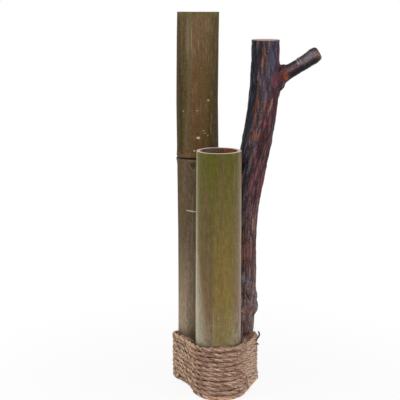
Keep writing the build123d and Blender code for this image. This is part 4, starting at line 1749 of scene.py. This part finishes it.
def yarn_points(frames, settings, wander, count, lift):
    """Four points of a fibre that follows the strands' lay, and how high on the rope it lies."""
    first = wander.randrange(len(frames) - count)
    bend = wander.uniform(-0.9, 0.9)
    stray = wander.uniform(-0.5, 0.5)
    proud = settings.diameter * wander.uniform(0.44, 0.5)
    start_length = frames[first][4]
    points, rises = [], []
    for share in (0.0, 0.35, 0.7, 1.0):
        point, _, outward, up, so_far = frames[first + round(share * count)]
        turn = bend + stray * share - FULL_TURN * (so_far - start_length) / settings.lay
        ray = outward * math.cos(turn) + up * math.sin(turn)
        place = point + ray * (proud + lift * share**2)
        place.z = max(place.z, FIBRE_CLEARANCE)
        points.append(place)
        rises.append(math.sin(turn))
    return points, sum(rises) / len(rises)


def tone_with_painted_shade(tone, rise, place):
    """A fibre's tone with painted shade where it lies low on its turn, most of all on the rope's left side.
    """
    share = 0.75 if place.x < -20 * MM else 0.15
    return tone * (1 - share * min(1.0, max(0.0, -1.6 * rise)))


def add_tuft(shape, wander, start, end, count, spread, tones):
    """Add the fibres of one frayed tuft to a shape."""
    for _ in range(count):
        jitter = Vector([wander.gauss(0, spread) for _ in range(3)]) * MM
        way = (Vector(end) - Vector(start)) * MM * wander.uniform(0.5, 1.1)
        root = Vector(start) * MM + jitter
        bow = Vector([wander.gauss(0, 0.8) for _ in range(3)]) * MM
        points = [root, root + way * 0.35 + bow, root + way * 0.7 + bow, root + way + jitter * 0.6]
        for point in points:
            point.z = max(point.z, FIBRE_CLEARANCE)
        add_fibre(shape, points, wander.uniform(0.25, 0.55) * MM, wander.uniform(*tones))


def build_fuzz(settings, frames):
    """Yarns and loose fibres all over the rope, and its frayed tufts."""
    wander = random.Random(FUZZ_SEED)
    shape = ([], [], [])
    for kind, steps, lift, tones, thickness in FUZZ:
        for _ in range(getattr(settings, kind)):
            count = wander.randint(*steps)
            points, rise = yarn_points(frames, settings, wander, count, wander.uniform(*lift) * MM)
            tone = tone_with_painted_shade(wander.uniform(*tones), rise, points[0])
            add_fibre(shape, points, wander.uniform(*thickness) * MM, tone)
    for start, end, count, spread, tones in FRAYED:
        add_tuft(shape, wander, start, end, count, spread, tones)
    fibre_piece("rope_fuzz", shape, hair_finish(settings))


SPUR_STEPS = (  # course of the stem from the branch's right side at the rope, in millimetres
    (-2.5, -5.0, 46.5), (-0.6, -6.2, 50.8), (1.3, -6.7, 53.6),
    (2.5, -6.7, 56.2), (2.3, -6.7, 58.6), (0.9, -6.7, 60.6),
)
SPUR_THICKNESS = 3.2 * MM


def build_spur(settings, branch):
    """A dark curled stem caught between the rope and the branch."""
    foot = branch_foot(branch) + Vector((branch.foot_radius + settings.diameter, 0, 0))
    line = read_line([foot + Vector(step) * MM for step in SPUR_STEPS], SPUR_LINE_STEPS)
    shape = ([], [], [])
    add_fibre(shape, line, SPUR_THICKNESS, 0.0, 0.35)
    fibre_piece("rope_spur", shape, spur_finish(settings))


def build_rope(settings, branch):
    """The rope binding: three twisted strands along one wound line, with their loose fibres."""
    line = read_line(rope_route(settings, branch), ROPE_LINE_STEPS)
    frames = line_frames(line)
    finish = jute_finish(settings)
    for number in range(STRANDS):
        name = f"rope_strand_{number + 1}"
        piece = strand_piece(name, frames, settings, FULL_TURN * number / STRANDS, STRAND_SEED + number)
        dress(piece, [finish])
        if number == 0:
            hand_in(piece, "jute", "rope_binding")
        else:
            hand_in(piece, "jute")
    build_fuzz(settings, frames)
    build_spur(settings, branch)


# Glue

def glue_finish(settings):
    """Cured amber glue."""
    material, glue = new_finish("glue", settings)
    cloud = glue.noise(glue.place(), 160.0, 3.0)
    base = glue.mix(cloud, "amber", "pale")
    surface(glue, base, glue.spread(cloud, 0.25, 0.45), glue.bump(cloud, 0.4 * MM, 0.5))
    return material


def build_glue(settings):
    """The glue beads inside the bundle keep their solids and get their finish."""
    finish = glue_finish(settings)
    for name in GLUE_NODES:
        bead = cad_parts[name]
        bead.data.materials.clear()
        bead.data.materials.append(finish)


# Stage

CAMERA_PLACE = (-20.8 * MM, -1015.6 * MM, 428.2 * MM)
SENSOR_WIDTH = 36.0  # in millimetres
LAMP_TARGET = Vector((0.02, 0.03, 0.22))
SOFTBOXES = (  # name, place in metres and power in watts of each lamp
    ("left_light", (-1.6, -0.6, 0.9), 10.0),
    ("right_light", (1.6, -0.6, 0.9), 10.0),
    ("front_light", (-0.3, -1.8, 1.4), 7.0),
)


def floor_finish(settings):
    """White floor that keeps a soft shadow near the vase and fades to the background."""
    material, floor = new_finish("floor", settings)
    path = floor.node("LightPath").outputs
    place = floor.place()
    base = floor.mix(floor.noise(place, 3.0, 2.0), "floor", "pale_floor")
    matte = floor.node("BsdfDiffuse", {"Color": base}).outputs[0]
    white = floor.node("Emission", {"Color": (1, 1, 1), "Strength": 1.0}).outputs[0]
    away = floor.node("VectorMath", {0: place}, operation="LENGTH").outputs["Value"]
    fade = floor.spread(floor.step(away, 0.12, 0.4), 0.9, 1.0)
    behind = floor.both(path["Is Glossy Ray"], floor.step(floor.axis(place, "Y"), -0.1, 0.3))
    seen = floor.both(floor.sum("MAXIMUM", path["Is Camera Ray"], behind), fade)
    mixed = floor.node("MixShader", {0: seen, 1: matte, 2: white}).outputs[0]
    floor.node("OutputMaterial", {"Surface": mixed})
    return material


def light_world():
    """Even white light, seen as white by the camera and greyer in gloss on the viewer's side."""
    world = bpy.data.worlds.new("studio")
    bpy.context.scene.world = world
    world.use_nodes = True
    tree = world.node_tree
    for node in list(tree.nodes):
        tree.nodes.remove(node)
    sky = Finish(tree)
    path = sky.node("LightPath").outputs
    depth = sky.axis(sky.node("TexCoord").outputs["Generated"], "Y")
    gloss = sky.spread(sky.step(depth, -0.6, 0.4), 0.3, 1.0)
    strength = sky.sum("MAXIMUM", 0.5, sky.both(path["Is Glossy Ray"], gloss))
    seen = sky.sum("MAXIMUM", path["Is Camera Ray"], path["Is Transmission Ray"])
    strength = sky.sum("MAXIMUM", strength, seen)
    shade = sky.node("Background", {"Color": (1, 1, 1), "Strength": strength}).outputs[0]
    sky.node("OutputWorld", {"Surface": shade})


def add_softbox(name, place, size, power):
    """A large square lamp that looks at the middle of the vase."""
    away = Vector(place) - LAMP_TARGET
    bpy.ops.object.light_add(type="AREA", location=place, rotation=away.to_track_quat("Z", "Y").to_euler())
    lamp = bpy.context.active_object
    lamp.name = name
    lamp.data.size = size
    lamp.data.energy = power


def build_stage(settings):
    """White floor, soft light from both sides and the camera of the photograph's view."""
    scene = bpy.context.scene
    scene.view_settings.view_transform = "Standard"
    bpy.ops.object.select_all(action="DESELECT")
    bpy.ops.mesh.primitive_plane_add(size=settings.floor_size)
    floor = bpy.context.active_object
    floor.name = "floor"
    floor.data.materials.append(floor_finish(settings))
    light_world()
    for name, place, power in SOFTBOXES:
        add_softbox(name, place, settings.lamp_size, power)
    bpy.ops.object.camera_add(location=CAMERA_PLACE, rotation=(math.pi / 2 - settings.tilt, 0, 0))
    camera = bpy.context.active_object
    camera.data.lens = settings.lens
    camera.data.sensor_width = SENSOR_WIDTH
    scene.camera = camera


# Operators and panel

class VASE_OT_stage(bpy.types.Operator):
    """Set up the floor, the light and the camera"""

    bl_idname = "vase.stage"
    bl_label = "Stage"

    def execute(self, context):
        build_stage(context.scene.bamboo_vase.stage)
        return {"FINISHED"}


class VASE_OT_rope(bpy.types.Operator):
    """Wind the rope binding"""

    bl_idname = "vase.rope"
    bl_label = "Rope"

    def execute(self, context):
        vase = context.scene.bamboo_vase
        build_rope(vase.rope, vase.branch)
        return {"FINISHED"}


class VASE_OT_short_culm(bpy.types.Operator):
    """Model the short green culm"""

    bl_idname = "vase.short_culm"
    bl_label = "Short Culm"

    def execute(self, context):
        vase = context.scene.bamboo_vase
        build_short_culm(vase.short_culm, vase.bamboo)
        return {"FINISHED"}


class VASE_OT_tall_culm(bpy.types.Operator):
    """Model the tall brown culm"""

    bl_idname = "vase.tall_culm"
    bl_label = "Tall Culm"

    def execute(self, context):
        vase = context.scene.bamboo_vase
        build_tall_culm(vase.tall_culm, vase.bamboo)
        return {"FINISHED"}


class VASE_OT_branch(bpy.types.Operator):
    """Model the forked branch"""

    bl_idname = "vase.branch"
    bl_label = "Branch"

    def execute(self, context):
        build_branch(context.scene.bamboo_vase.branch)
        return {"FINISHED"}


class VASE_OT_glue(bpy.types.Operator):
    """Finish the glue beads"""

    bl_idname = "vase.glue"
    bl_label = "Glue"

    def execute(self, context):
        build_glue(context.scene.bamboo_vase.glue)
        return {"FINISHED"}


OPERATORS = (
    VASE_OT_stage, VASE_OT_rope, VASE_OT_short_culm, VASE_OT_tall_culm, VASE_OT_branch, VASE_OT_glue,
)


class VASE_PT_panel(bpy.types.Panel):
    """The steps that make the vase, in order"""

    bl_idname = "VASE_PT_panel"
    bl_label = "Bamboo Vase"
    bl_space_type = "VIEW_3D"
    bl_region_type = "UI"
    bl_category = "Bamboo Vase"

    def draw(self, context):
        for operator in OPERATORS:
            self.layout.operator(operator.bl_idname)


CLASSES = (
    ShortCulmSettings, TallCulmSettings, BambooSettings, BranchSettings, RopeSettings, GlueSettings,
    StageSettings, VaseSettings, *OPERATORS, VASE_PT_panel,
)


def register():
    """Make the settings, the steps and the panel known to Blender."""
    for kind in CLASSES:
        bpy.utils.register_class(kind)
    bpy.types.Scene.bamboo_vase = PointerProperty(type=VaseSettings)


def unregister():
    """Take them away again."""
    del bpy.types.Scene.bamboo_vase
    for kind in reversed(CLASSES):
        bpy.utils.unregister_class(kind)


def main():
    """Make the vase, step by step."""
    register()
    bpy.ops.vase.stage()
    bpy.ops.vase.rope()
    bpy.ops.vase.short_culm()
    bpy.ops.vase.tall_culm()
    bpy.ops.vase.branch()
    bpy.ops.vase.glue()


if __name__ == "__main__":
    main()
